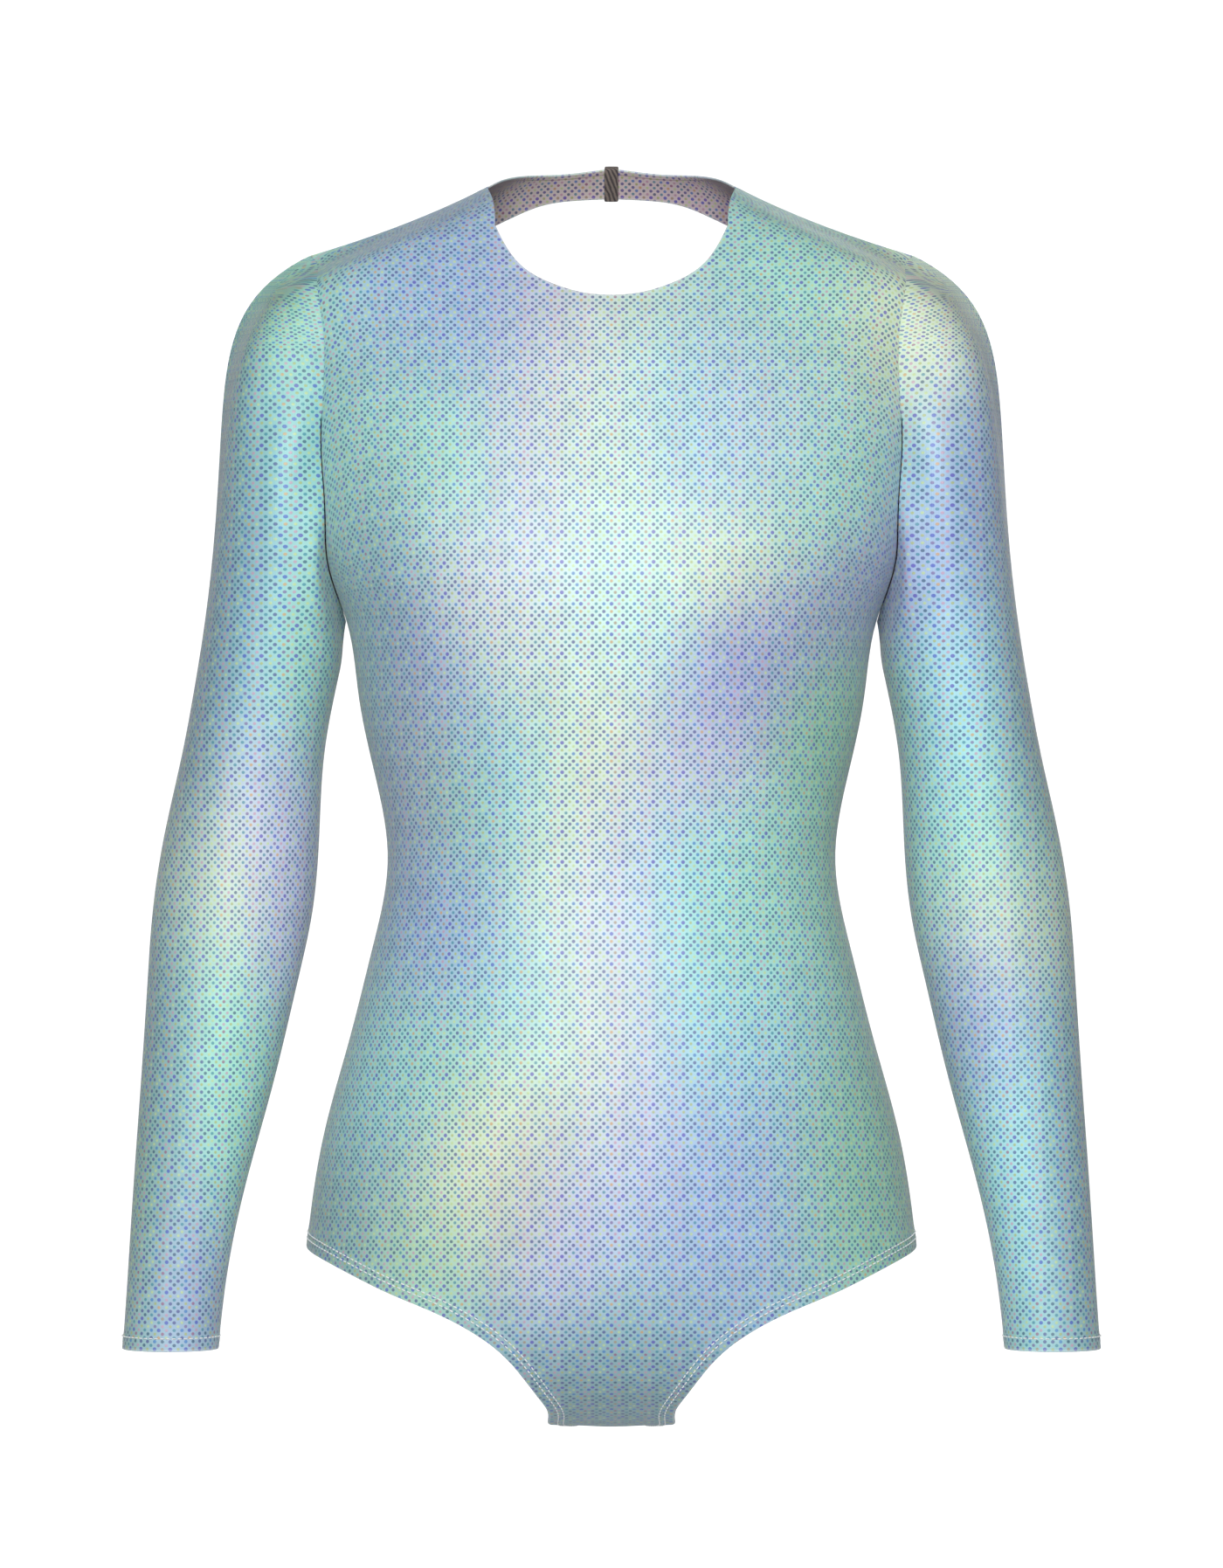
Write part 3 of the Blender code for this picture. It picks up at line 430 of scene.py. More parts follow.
class Form:
    """The worn form: a front and a back face that share the side line.

    A point on a face has two numbers: share runs from 0 on the side line to 1 on the centre
    line, and run is the way down the cloth from the shoulder line in millimetres. Each section
    is a cubic Bezier curve across, and splines carry its four handles down the run.
    """

    def __init__(self):
        table = columns_of(SECTIONS, SECTION_COLUMNS)
        none = np.zeros(len(SECTIONS))
        side = np.stack([table["side_x"], table["side_y"], table["side_z"]], axis=1)
        self.controls = {}
        for face in ("front", "back"):
            centre_y = table[face + "_y"]
            centre_z = table[face + "_z"]
            leaving = np.stack([
                table["side_x"] - table["lean"],
                table["side_y"] + table["fill_" + face] * (centre_y - table["side_y"]),
                table["side_z"] + table["lift"],
            ], axis=1)
            arriving = np.stack([
                table["flat_" + face] * table["side_x"],
                centre_y,
                centre_z - table["drop_" + face],
            ], axis=1)
            centre = np.stack([none, centre_y, centre_z], axis=1)
            self.controls[face] = np.stack([side, leaving, arriving, centre], axis=1)
        strides = [
            np.linalg.norm(np.diff(points, axis=0), axis=1)
            for points in (side, self.controls["front"][:, 3], self.controls["back"][:, 3])
        ]
        self.knots = np.concatenate([[0], np.cumsum(np.mean(strides, axis=0))])
        self.end = self.knots[-1]

    def row(self, name):
        """Run of a named section."""
        return self.knots[[row[0] for row in SECTIONS].index(name)]

    def point(self, face, share, run):
        """Points in millimetres, on the half where x is positive."""
        share, run = np.broadcast_arrays(np.asarray(share, float), np.asarray(run, float))
        tip = SHOULDER_TIP_RUN[face]
        neck = NECK_RUN[face]
        first = np.array([SHOULDER_SIDE_RUN, tip, neck, neck])
        crotch = CROTCH_RUN[face]
        last = np.array([CROTCH_SIDE_RUN, crotch, crotch, crotch])
        handles = spline(self.knots, self.controls[face], run, first, last)
        share = share[..., None]
        rest = 1 - share
        return (
            rest ** 3 * handles[..., 0, :]
            + 3 * rest ** 2 * share * handles[..., 1, :]
            + 3 * rest * share ** 2 * handles[..., 2, :]
            + share ** 3 * handles[..., 3, :]
        )

    def slopes(self, face, share, run):
        """How a point moves for a little more share and for a little more run."""
        low = np.clip(share - SLOPE_SHARE, 0, 1)
        high = np.clip(share + SLOPE_SHARE, 0, 1)
        across = (self.point(face, high, run) - self.point(face, low, run)) / (
            high - low
        )[..., None]
        up = np.clip(run - SLOPE_RUN, 0, self.end)
        down = np.clip(run + SLOPE_RUN, 0, self.end)
        along = (self.point(face, share, down) - self.point(face, share, up)) / (
            down - up
        )[..., None]
        return across, along

    def outward(self, face, share, run):
        """Unit vectors that point out of the cloth."""
        across, along = self.slopes(face, share, run)
        normal = np.cross(across, along)
        if face == "back":
            normal = -normal
        return normal / np.linalg.norm(normal, axis=-1, keepdims=True)

    def measure(self, face, grid):
        """Lengths on the cloth: out from the centre line, and down from the underarm row.

        Below the underarm they are lengths along the sections and along the lines down the
        cloth. Above it each step to the side or down is drawn out by how much the cloth slants
        there, because the sections climb over the shoulders.
        """
        share = grid[..., 0].ravel()[:, None]
        run = grid[..., 1].ravel()[:, None]
        level = self.row(UNDERARM_ROW)
        pace = np.linspace(0, 1, MEASURE_POINTS)
        lengths = []
        for at_share, at_run, axis, taken in (
            (1 + (share - 1) * pace, run + 0 * pace, 0, (0, 1)),
            (share + 0 * pace, level + (run - level) * pace, 2, (1, 2)),
        ):
            moves = np.diff(self.point(face, at_share, at_run), axis=1)
            normals = self.outward(face, (at_share[:, 1:] + at_share[:, :-1]) / 2,
                                   (at_run[:, 1:] + at_run[:, :-1]) / 2)
            whole = np.hypot(normals[..., axis], normals[..., 1]) + 1e-9
            slant = whole / np.maximum(np.abs(normals[..., 1]), STEEPEST * whole)
            along = np.linalg.norm(moves[..., taken], axis=-1) * np.sign(moves[..., axis])
            lengths.append((along.sum(axis=1), (moves[..., axis] * slant).sum(axis=1)))
        high = np.clip((level - run[:, 0]) / MEASURE_BLEND, 0, 1)
        high = high ** 2 * (3 - 2 * high)
        across, down = (low * (1 - high) + up * high for low, up in lengths)
        height = self.point(face, share[:, 0], level)[:, 2] + down
        return across.reshape(grid.shape[:-1]), height.reshape(grid.shape[:-1])

    def find(self, face, target, axes, guess):
        """Share and run of the point whose two coordinates on the axes are the target.

        The nearest point of a coarse net round the guess is moved there in a few steps.
        """
        axes = list(axes)
        net = np.stack(np.meshgrid(
            np.linspace(0, 1, NET_SHARES + 1)[1:],
            np.clip(guess[1] + np.linspace(-NET_REACH, NET_REACH, NET_RUNS), 0, self.end),
            indexing="ij",
        ), axis=-1).reshape(-1, 2)
        points = self.point(face, net[:, 0], net[:, 1])[:, axes]
        far = np.linalg.norm(points - target, axis=1) + NET_PULL * np.abs(net[:, 1] - guess[1])
        place = net[np.argmin(far)]
        for _ in range(SEARCH_STEPS):
            miss = target - self.point(face, place[0], place[1])[axes]
            across, along = self.slopes(face, place[0], place[1])
            tilt = np.stack([across[axes], along[axes]], axis=1)
            step = np.linalg.lstsq(tilt, miss, rcond=1e-6)[0]
            place = place + np.clip(step, np.negative(SEARCH_STRIDE), SEARCH_STRIDE)
            place = np.clip(place, 0, (1, self.end))
        return place

    def trace(self, face, points, axes, start, finish=None):
        """Smooth path on a face through points given by two coordinates each.

        It begins at start and ends at finish, both a share and a run. The result is a
        function from 0 to 1, even along the cloth, to shares and runs.
        """
        places = [np.array(start, float)]
        for target in points:
            places.append(self.find(face, target, axes, places[-1]))
        if points and points[-1][0] == 0:
            places[-1][0] = 1.0
        if finish is not None:
            places.append(np.array(finish, float))
        places = np.array(places)
        corners = self.point(face, places[:, 0], places[:, 1])
        knots = np.concatenate(
            [[0], np.cumsum(np.linalg.norm(np.diff(corners, axis=0), axis=1))]
        )
        fine = np.linspace(0, knots[-1], PATH_POINTS)
        path = spline(knots, places, fine)
        path[:, 0] = np.clip(path[:, 0], 0, 1)
        path[:, 1] = np.clip(path[:, 1], 0, self.end)
        return even(self, face, path)


def columns_of(rows, names):
    """A table's columns by name, with the words left as they are."""
    return {
        name: np.array([row[place] for row in rows])
        for place, name in enumerate(names)
    }


def even(form, face, path):
    """A path of shares and runs as a function from 0 to 1 that is even along the cloth."""
    points = form.point(face, path[:, 0], path[:, 1])
    length = np.concatenate([[0], np.cumsum(np.linalg.norm(np.diff(points, axis=0), axis=1))])
    length = length / length[-1]

    def read(at):
        at = np.asarray(at, float)
        return np.stack(
            [np.interp(at, length, path[:, 0]), np.interp(at, length, path[:, 1])], axis=-1
        )

    return read


def patch(top, bottom, left, right, columns, rows):
    """Grid of shares and runs between four edges that meet at their ends.

    The sum of the two straight blends between opposite edges, less the blend of the corners.
    """
    across = columns[None, :, None]
    down = rows[:, None, None]
    upper = top[None, :, :]
    lower = bottom[None, :, :]
    near = left[:, None, :]
    far = right[:, None, :]
    return (
        (1 - down) * upper + down * lower + (1 - across) * near + across * far
        - (1 - down) * ((1 - across) * top[0] + across * top[-1])
        - down * ((1 - across) * bottom[0] + across * bottom[-1])
    )


def steps(count):
    """Even steps from 0 to 1, with the first and the last cell cut once more."""
    cut = EDGE_CUT / count
    return np.concatenate([[0, cut], np.linspace(0, 1, count + 1)[1:-1], [1 - cut, 1]])


def piecewise(at, stops, readers):
    """Read several functions of 0 to 1 one after the other, each between its two stops."""
    result = np.zeros((len(at), 2))
    for low, high, reader in zip(stops[:-1], stops[1:], readers):
        inside = (at >= low) & (at <= high)
        result[inside] = reader((at[inside] - low) / (high - low))
    return result


def straight(start, finish):
    """Straight line between two places as a function of 0 to 1."""
    return lambda at: start + (finish - start) * np.asarray(at)[:, None]


def shoulder_place(form, x):
    """Place on the shoulder line at a distance from the middle."""
    share = np.linspace(0, 1, LINE_POINTS)
    line = form.point("front", share, 0.0)
    return np.array([np.interp(-x, -line[:, 0], share), 0.0])


def leg_edge(form, face):
    """Leg edge from the side line down to the crotch seam, as a function of 0 to 1."""
    share = np.linspace(0, 1, LINE_POINTS)
    line = form.point(face, share, form.end)
    seam_share = np.interp(-CROTCH_HALF_WIDTH, -line[:, 0], share)
    return form.trace(face, LEG_EDGE, (0, 2), (0, form.row(LEG_ROW)), (seam_share, form.end))


def lower_grid(form, face, columns):
    """Rows of a panel from the underarm to the leg corner and on down to the crotch seam."""
    underarm = form.row(UNDERARM_ROW)
    corner = form.row(LEG_ROW)
    body = np.zeros((BODY_ROWS + 1, len(columns), 2))
    body[:, :, 0] = columns[None, :]
    body[:, :, 1] = (underarm + (corner - underarm) * np.linspace(0, 1, BODY_ROWS + 1))[:, None]
    rows = steps(LEG_ROWS)
    left = leg_edge(form, face)(rows)
    right = np.stack([np.ones(len(rows)), corner + (form.end - corner) * rows], axis=1)
    across = columns[None, :, None]
    legs = (1 - across) * left[:, None, :] + across * right[:, None, :]
    return np.concatenate([body[1:], legs[1:]])


def armhole_path(form, face):
    """Armhole seam from the shoulder tip down to the underarm."""
    return form.trace(
        face, ARMHOLE[face], (0, 2), shoulder_place(form, SHOULDER_TIP_X),
        (0, form.row(UNDERARM_ROW)),
    )


def front_grid(form):
    """Half of the front: shoulder and neckline, armhole, side, leg edge and crotch seam."""
    columns = steps(HALF_COLUMNS)
    rows = steps(ARMHOLE_ROWS)
    tip = shoulder_place(form, SHOULDER_TIP_X)
    band_end = shoulder_place(form, BAND_END_X)
    neck = shoulder_place(form, NECK_POINT_X)
    neckline = form.trace("front", NECKLINE, (0, 2), neck)
    stops = (0, SHOULDER_SHARE, SHOULDER_SHARE + BAND_SHARE, 1)
    top = piecewise(columns, stops, (straight(tip, band_end), straight(band_end, neck), neckline))
    underarm = form.row(UNDERARM_ROW)
    bottom = np.stack([columns, np.full(len(columns), underarm)], axis=1)
    left = armhole_path(form, "front")(rows)
    right = np.stack([np.ones(len(rows)), top[-1, 1] + (underarm - top[-1, 1]) * rows], axis=1)
    upper = patch(top, bottom, left, right, columns, rows)
    return np.concatenate([upper, lower_grid(form, "front", columns)])


def band_joint(form):
    """Joint of the neck band and the back: its two ends, on the shoulder and at the keyhole."""
    start = shoulder_place(form, BAND_END_X)
    corner = form.find("back", BAND_FREE_EDGE[0], (0, 2), (0.7, 60))
    return start, corner


def back_grid(form):
    """Half of the back: shoulder, band joint, keyhole, side, leg edge and crotch seam."""
    columns = steps(HALF_COLUMNS)
    rows = steps(ARMHOLE_ROWS)
    underarm = form.row(UNDERARM_ROW)
    tip = shoulder_place(form, SHOULDER_TIP_X)
    start, corner = band_joint(form)
    hole = form.trace("back", KEYHOLE, (0, 2), corner)
    bottom_of_hole = hole([1.0])[0]
    top = straight(tip, start)(columns)
    bottom = np.stack([columns, np.full(len(columns), underarm)], axis=1)
    left = armhole_path(form, "back")(rows)
    below = straight(bottom_of_hole, np.array([1, underarm]))
    stops = (0, JOINT_SHARE, JOINT_SHARE + KEYHOLE_SHARE, 1)
    right = piecewise(rows, stops, (straight(start, corner), hole, below))
    upper = patch(top, bottom, left, right, columns, rows)
    return np.concatenate([upper, lower_grid(form, "back", columns)])


def band_grid(form):
    """Half of the neck band, from the shoulder seam to the centre."""
    neck = shoulder_place(form, NECK_POINT_X)
    start, corner = band_joint(form)
    columns = steps(BAND_COLUMNS)
    rows = steps(BAND_ROWS)[:, None, None]
    upper = form.trace("back", BAND_UPPER_EDGE, (0, 1), neck)(columns)
    free = form.trace("back", BAND_FREE_EDGE[1:], (0, 2), corner)
    lower = piecewise(columns, (0, BAND_JOINT_SHARE, 1), (straight(start, corner), free))
    return (1 - rows) * upper[None] + rows * lower[None]


def flattened(normals, on_seam):
    """Normals with the depth taken out on the seams between front and back."""
    flat = normals * np.array([1, 0, 1])
    flat = flat / np.linalg.norm(flat, axis=-1, keepdims=True)
    return np.where(on_seam[..., None], flat, normals)


def panel_surface(form, face, grid):
    """Points and outward vectors of a half panel on the side where x is positive."""
    points = form.point(face, grid[..., 0], grid[..., 1])
    normals = form.outward(face, grid[..., 0], grid[..., 1])
    on_seam = (grid[..., 1] < 1e-6) | (grid[..., 1] > form.end - 1e-6) | (grid[..., 0] < 1e-6)
    return points, flattened(normals, on_seam)


def grid_quads(ids):
    """Quads of a grid of point numbers."""
    return np.stack(
        [ids[:-1, :-1], ids[:-1, 1:], ids[1:, 1:], ids[1:, :-1]], axis=-1
    ).reshape(-1, 4)


class Cloth:
    """A surface of points, outward vectors, lengths for the print, and quads."""

    def __init__(self, points, vectors, print_place, quads):
        used = np.unique(quads)
        renumber = np.zeros(len(points), int)
        renumber[used] = np.arange(len(used))
        self.points = points[used]
        self.vectors = vectors[used]
        self.print_place = print_place[used]
        self.quads = renumber[quads]
        self.face_outwards()

    def face_outwards(self):
        """Turn the quads over where they face against the outward vectors."""
        corners = self.points[self.quads]
        turned = np.cross(corners[:, 2] - corners[:, 0], corners[:, 3] - corners[:, 1])
        if np.einsum("ij,ij->", turned, self.vectors[self.quads[:, 0]]) < 0:
            self.quads = self.quads[:, ::-1]

    def rim(self):
        """Edges that only one quad has, in that quad's order."""
        quads = self.quads
        edges = np.concatenate([quads[:, [k, (k + 1) % 4]] for k in range(4)])
        codes = edges.min(axis=1) * len(self.points) + edges.max(axis=1)
        _, place, times = np.unique(codes, return_index=True, return_counts=True)
        return edges[place[times == 1]]


def whole_panel(points, normals, lengths, split_rows=0):
    """Both halves of a panel, joined along the centre line below split_rows."""
    rows, columns = points.shape[:2]
    left = np.arange(rows * columns).reshape(rows, columns)
    right = left + rows * columns
    right[split_rows:, -1] = left[split_rows:, -1]
    quads = np.concatenate([grid_quads(left), grid_quads(right)[:, ::-1]])
    points = points.copy()
    points[split_rows:, -1, 0] = 0
    normals = normals.copy()
    normals[split_rows:, -1, 0] = 0
    flip = np.array([-1, 1, 1])
    both = np.concatenate([(points * flip).reshape(-1, 3), points.reshape(-1, 3)])
    vectors = np.concatenate([(normals * flip).reshape(-1, 3), normals.reshape(-1, 3)])
    vectors = vectors / np.linalg.norm(vectors, axis=1, keepdims=True)
    out, height = lengths
    place = np.concatenate([
        np.stack([-out, height], axis=-1).reshape(-1, 2),
        np.stack([out, height], axis=-1).reshape(-1, 2),
    ])
    return Cloth(both, vectors, place, quads)


def nearest(points, targets):
    """Distance of each point from the nearest of the targets."""
    result = np.full(len(points), 1e6)
    if len(targets) == 0:
        return result
    for low in range(0, len(points), 2000):
        part = points[low:low + 2000]
        squares = (
            (part ** 2).sum(axis=1)[:, None] + (targets ** 2).sum(axis=1)[None]
            - 2 * part @ targets.T
        )
        result[low:low + 2000] = np.sqrt(np.clip(squares.min(axis=1), 0, None))
    return result


def pool_tints_with_painted_light(points, vectors):
    """Tint of the shimmer at each point: the mean of the pools, weighed by how near they are.

    A pool's weight is a bell curve of the distance from it, wider along its height, and the
    side away from the camera has the same pools mirrored and moved up. Where the cloth turns
    to the sides the colour is then darkened, which is painted shade.
    """
    tints = []
    table = columns_of(POOLS, POOL_COLUMNS)
    shades = np.array([POOL_COLOURS[name] for name in table["colour"]], float) / 255
    for x, z in (
        (points[:, 0], points[:, 2]),
        (-points[:, 0], points[:, 2] - BACK_POOL_RISE),
    ):
        away = x[:, None] - table["x"] - table["lean"] * (z[:, None] - table["z"])
        up = z[:, None] - table["z"]
        wide = POOL_SPREAD * table["half_width"]
        high = POOL_SPREAD * table["half_height"]
        weight = np.exp(-(away / wide) ** 2 - (up / high) ** 2)
        ground = GROUND_WEIGHT * np.array(GROUND_COLOUR) / 255
        tints.append(
            (weight @ shades + ground) / (weight.sum(axis=1) + GROUND_WEIGHT)[:, None]
        )
    back = np.clip(0.5 + 1.2 * vectors[:, 1], 0, 1)[:, None]
    back = back ** 2 * (3 - 2 * back)
    colour = tints[0] * (1 - back) + tints[1] * back
    # Painted shade: the colour is darker where the cloth turns to the sides
    turned = np.clip(1 - np.abs(vectors[:, 1]), 0, 1)[:, None]
    colour = colour * (1 - SIDE_PAINTED_SHADE * turned ** 0.8)
    return ((colour + 0.055) / 1.055) ** 2.4


def crease_depth(points, vectors, creases, clear):
    """How deep the creases press each point in: a bell curve across each crease's line.

    It fades to nothing at the line's ends and where clear, the distance from an edge, ends.
    """
    depth = np.zeros(len(points))
    for face, x0, z0, x1, z1, width, deep in creases:
        start = np.array([x0, z0])
        line = np.array([x1, z1]) - start
        length = np.linalg.norm(line)
        offset = points[:, [0, 2]] - start
        along = offset @ line / length ** 2
        across = (offset[:, 0] * line[1] - offset[:, 1] * line[0]) / length
        across = across + 0.06 * length * np.sin(2.4 * along + 0.4)
        ends = np.clip(1 - (2 * along - 1) ** 2 / 1.2, 0, 1) ** 2
        side = vectors[:, 1] < 0.2 if face == "front" else vectors[:, 1] > -0.2
        bell = np.exp(-(across / width) ** 2) - 0.45 * np.exp(-((across - 1.9 * width) / width) ** 2)
        depth += deep * bell * ends * side
    fade = np.clip(clear / CREASE_FADE, 0, 1)
    return depth * fade ** 2 * (3 - 2 * fade)


def finish_cloth(name, cloth, sewn_lines, creases=(), hem_lines=(), wall=1.0, relief=None):
    """Give a cloth its thickness, turned edges, creases, tints and distances from its edges.

    A free edge is rounded over: its rings turn half a circle from the outer side to the
    inner one. An edge on a seam stays square, and the cloth dips a little beside it.
    """
    edges = cloth.rim()
    rim = np.unique(edges)
    sewn = nearest(cloth.points, sewn_lines) < 0.4 if len(sewn_lines) else np.zeros(len(cloth.points), bool)
    free_points = cloth.points[rim[~sewn[rim]]]
    sewn_points = cloth.points[rim[sewn[rim]]]
    edge_far = nearest(cloth.points, free_points)
    seam_far = nearest(cloth.points, sewn_points)
    hem_far = nearest(cloth.points, hem_lines) if len(hem_lines) else np.full(len(cloth.points), 99.0)
    clear = np.minimum(edge_far, seam_far)
    dip = SEAM_DIP * np.exp(-(seam_far / SEAM_DIP_WIDTH) ** 2)
    relief = HEM_RELIEF if relief is None else relief
    hem_rise = np.clip((HEM_DEPTH - hem_far) / HEM_STEP + 0.5, 0, 1)
    hem = relief * hem_rise * np.clip(seam_far / HEM_FADE, 0, 1)
    depth = dip + crease_depth(cloth.points, cloth.vectors, creases, clear) - hem
    points = cloth.points - depth[:, None] * cloth.vectors
    tints = pool_tints_with_painted_light(cloth.points, cloth.vectors)

    away = np.zeros_like(points)
    ways = np.cross(points[edges[:, 1]] - points[edges[:, 0]], cloth.vectors[edges[:, 0]])
    np.add.at(away, edges[:, 0], ways)
    np.add.at(away, edges[:, 1], ways)
    away = away[rim]
    away = away / np.maximum(np.linalg.norm(away, axis=1, keepdims=True), 1e-9)
    away[sewn[rim]] = 0
    count = len(points)
    ring_of = np.full(count, -1)
    ring_of[rim] = np.arange(len(rim))
    all_points = [points, points - wall * cloth.vectors]
    sources = [np.arange(count), np.arange(count)]
    ids = [rim]
    for step in range(1, ROUND_STEPS):
        turn = np.pi * step / ROUND_STEPS
        ids.append(2 * count + (step - 1) * len(rim) + np.arange(len(rim)))
        all_points.append(
            points[rim] - wall * (1 - np.cos(turn)) / 2 * cloth.vectors[rim]
            + wall / 2 * np.sin(turn) * away
        )
        sources.append(rim)
    ids.append(rim + count)
    start = ring_of[edges[:, 0]]
    end = ring_of[edges[:, 1]]
    rim_quads = [
        np.stack([near[end], near[start], far[start], far[end]], axis=1)
        for near, far in zip(ids[:-1], ids[1:])
    ]
    quads = np.concatenate([cloth.quads, cloth.quads[:, ::-1] + count] + rim_quads)
    side = np.zeros(len(quads), int)
    side[len(cloth.quads):2 * len(cloth.quads)] = 1
    source = np.concatenate(sources)
    return build_mesh(
        name, np.concatenate(all_points), quads, side, cloth.print_place[source],
        tints[source], edge_far[source], hem_far[source],
    )


def build_mesh(name, points, quads, side, place, tints, edge_far, hem_far):
    """Make a smooth mesh object with its print map and colours from arrays in millimetres."""
    mesh = bpy.data.meshes.new(name)
    mesh.from_pydata((points * MM).tolist(), [], quads.tolist())
    mesh.update()
    mesh.polygons.foreach_set("material_index", side.astype(np.int32))
    mesh.polygons.foreach_set("use_smooth", np.ones(len(quads), bool))
    corner = np.zeros(len(mesh.loops), np.int32)
    mesh.loops.foreach_get("vertex_index", corner)
    layer = mesh.uv_layers.new(name="Print")
    layer.data.foreach_set("uv", (place[corner] / REPEAT).astype(np.float32).ravel())
    colour = mesh.attributes.new("tint", "FLOAT_COLOR", "POINT")
    rgba = np.concatenate([tints, np.ones((len(tints), 1))], axis=1)
    colour.data.foreach_set("color", rgba.astype(np.float32).ravel())
    for label, values in (("edge", edge_far), ("hem", hem_far)):
        layer = mesh.attributes.new(label, "FLOAT", "POINT")
        layer.data.foreach_set("value", np.minimum(values, 99).astype(np.float32))
    mesh.set_sharp_from_angle(angle=np.radians(55))
    piece = bpy.data.objects.new(name, mesh)
    bpy.context.scene.collection.objects.link(piece)
    return piece


def sampled(form, face, path):
    """Points of a path of shares and runs on both sides of the middle plane."""
    points = form.point(face, path[:, 0], path[:, 1])
    return np.concatenate([points, points * np.array([-1, 1, 1])])


def seam_lines(form, face):
    """Points close together on all the seams of a panel."""
    fine = np.linspace(0, 1, SEAM_POINTS)
    tip = shoulder_place(form, SHOULDER_TIP_X)
    neck = shoulder_place(form, NECK_POINT_X)
    last = leg_edge(form, face)([1.0])[0]
    side = np.interp(fine, (0, 1), (form.row(UNDERARM_ROW), form.row(LEG_ROW)))
    lines = [
        armhole_path(form, face)(fine),
        np.stack([np.zeros(len(fine)), side], axis=1),
        np.stack([last[0] + (1 - last[0]) * fine, np.full(len(fine), form.end)], axis=1),
        straight(tip, neck)(fine),
    ]
    if face == "back":
        lines.append(straight(*band_joint(form))(fine))
    return np.concatenate([sampled(form, face, line) for line in lines])


def leg_lines(form, face):
    """Points close together on both leg edges of a face."""
    return sampled(form, face, leg_edge(form, face)(np.linspace(0, 1, SEAM_POINTS)))


def sleeve_surface(form):
    """Rings of the sleeve at +X, open along its own seam under the arm, and its columns' turn.

    The cap's lines leave the armhole square to it and run smoothly into the arm's lines.
    """
    rows = steps(ARMHOLE_ROWS)
    front, front_out = panel_surface(form, "front", armhole_path(form, "front")(rows))
    back, back_out = panel_surface(form, "back", armhole_path(form, "back")(rows))
    seam = np.concatenate([front[::-1], back[1:]])
    seam_out = np.concatenate([front_out[::-1], back_out[1:]])
    ahead = np.cross(seam_out, np.gradient(seam, axis=0))
    ahead = ahead / np.linalg.norm(ahead, axis=1, keepdims=True)
    ahead *= np.sign(np.einsum("ij,ij->i", ahead, seam.mean(axis=0) - seam))[:, None]
    turn = np.pi * np.concatenate([rows[::-1], -rows[1:]])
    table = {name: np.array(col, float) for name, col in columns_of(SLEEVE, SLEEVE_COLUMNS).items()}
    heights = table["height"][0] + (table["height"][-1] - table["height"][0]) * steps(ARM_RINGS)
    centre, middle, half_width, half_depth = spline(-table["height"], np.stack([
        (table["outer_x"] + table["inner_x"]) / 2, table["middle_y"],
        (table["outer_x"] - table["inner_x"]) / 2, table["half_depth"],
    ], axis=1), -heights).T
    arm = np.stack([
        centre[:, None] + half_width[:, None] * np.cos(turn),
        middle[:, None] - half_depth[:, None] * np.sin(turn),
        np.broadcast_to(heights[:, None], (len(heights), len(turn))),
    ], axis=-1)
    outer = (1 + np.cos(turn[:, None])) / 2
    away = np.outer(1 - outer, CAP_LEAVES_INNER) + np.outer(outer, CAP_LEAVES_OUTER)
    leaving = np.stack([away[:, 0], -CAP_LEAVES_DEPTH * np.sin(turn), away[:, 1]], axis=1)
    leaving = leaving / np.linalg.norm(leaving, axis=1, keepdims=True)
    folded = np.clip(-np.einsum("ij,ij->i", leaving, ahead), 0, 1)[:, None]
    seam = seam + SEAM_GAP * (ahead + folded * seam_out)
    arriving = arm[2] - arm[0]
    arriving = arriving / np.linalg.norm(arriving, axis=1, keepdims=True)
    reach = np.linalg.norm(arm[0] - seam, axis=1, keepdims=True)
    start = CAP_START_INNER + (CAP_START_OUTER - CAP_START_INNER) * outer
    end = CAP_END_INNER + (CAP_END_OUTER - CAP_END_INNER) * outer
    first = seam + start * reach * leaving
    second = arm[0] - end * reach * arriving
    share = steps(CAP_RINGS)[:, None, None]
    cap = (
        (1 - share) ** 3 * seam + 3 * (1 - share) ** 2 * share * first
        + 3 * (1 - share) * share ** 2 * second + share ** 3 * arm[0]
    )
    return np.concatenate([cap, arm[1:]]), turn, seam_out


def sleeve_normals(rings, seam_out):
    """Outward unit vectors of a sleeve's rings, joined over its own seam."""
    closed = np.concatenate([rings[:, -2:-1], rings, rings[:, 1:2]], axis=1)
    around = (closed[:, 2:] - closed[:, :-2])
    along = np.gradient(rings, axis=0)
    normals = np.cross(along, around)
    normals = normals / np.linalg.norm(normals, axis=-1, keepdims=True)
    centre = rings.mean(axis=1, keepdims=True)
    if np.einsum("ijk,ijk->", normals, rings - centre) < 0:
        normals = -normals
    alike = np.einsum("ij,ij->i", normals[0], seam_out) > 0
    normals[0] = np.where(alike[:, None], seam_out, normals[0])
    return normals


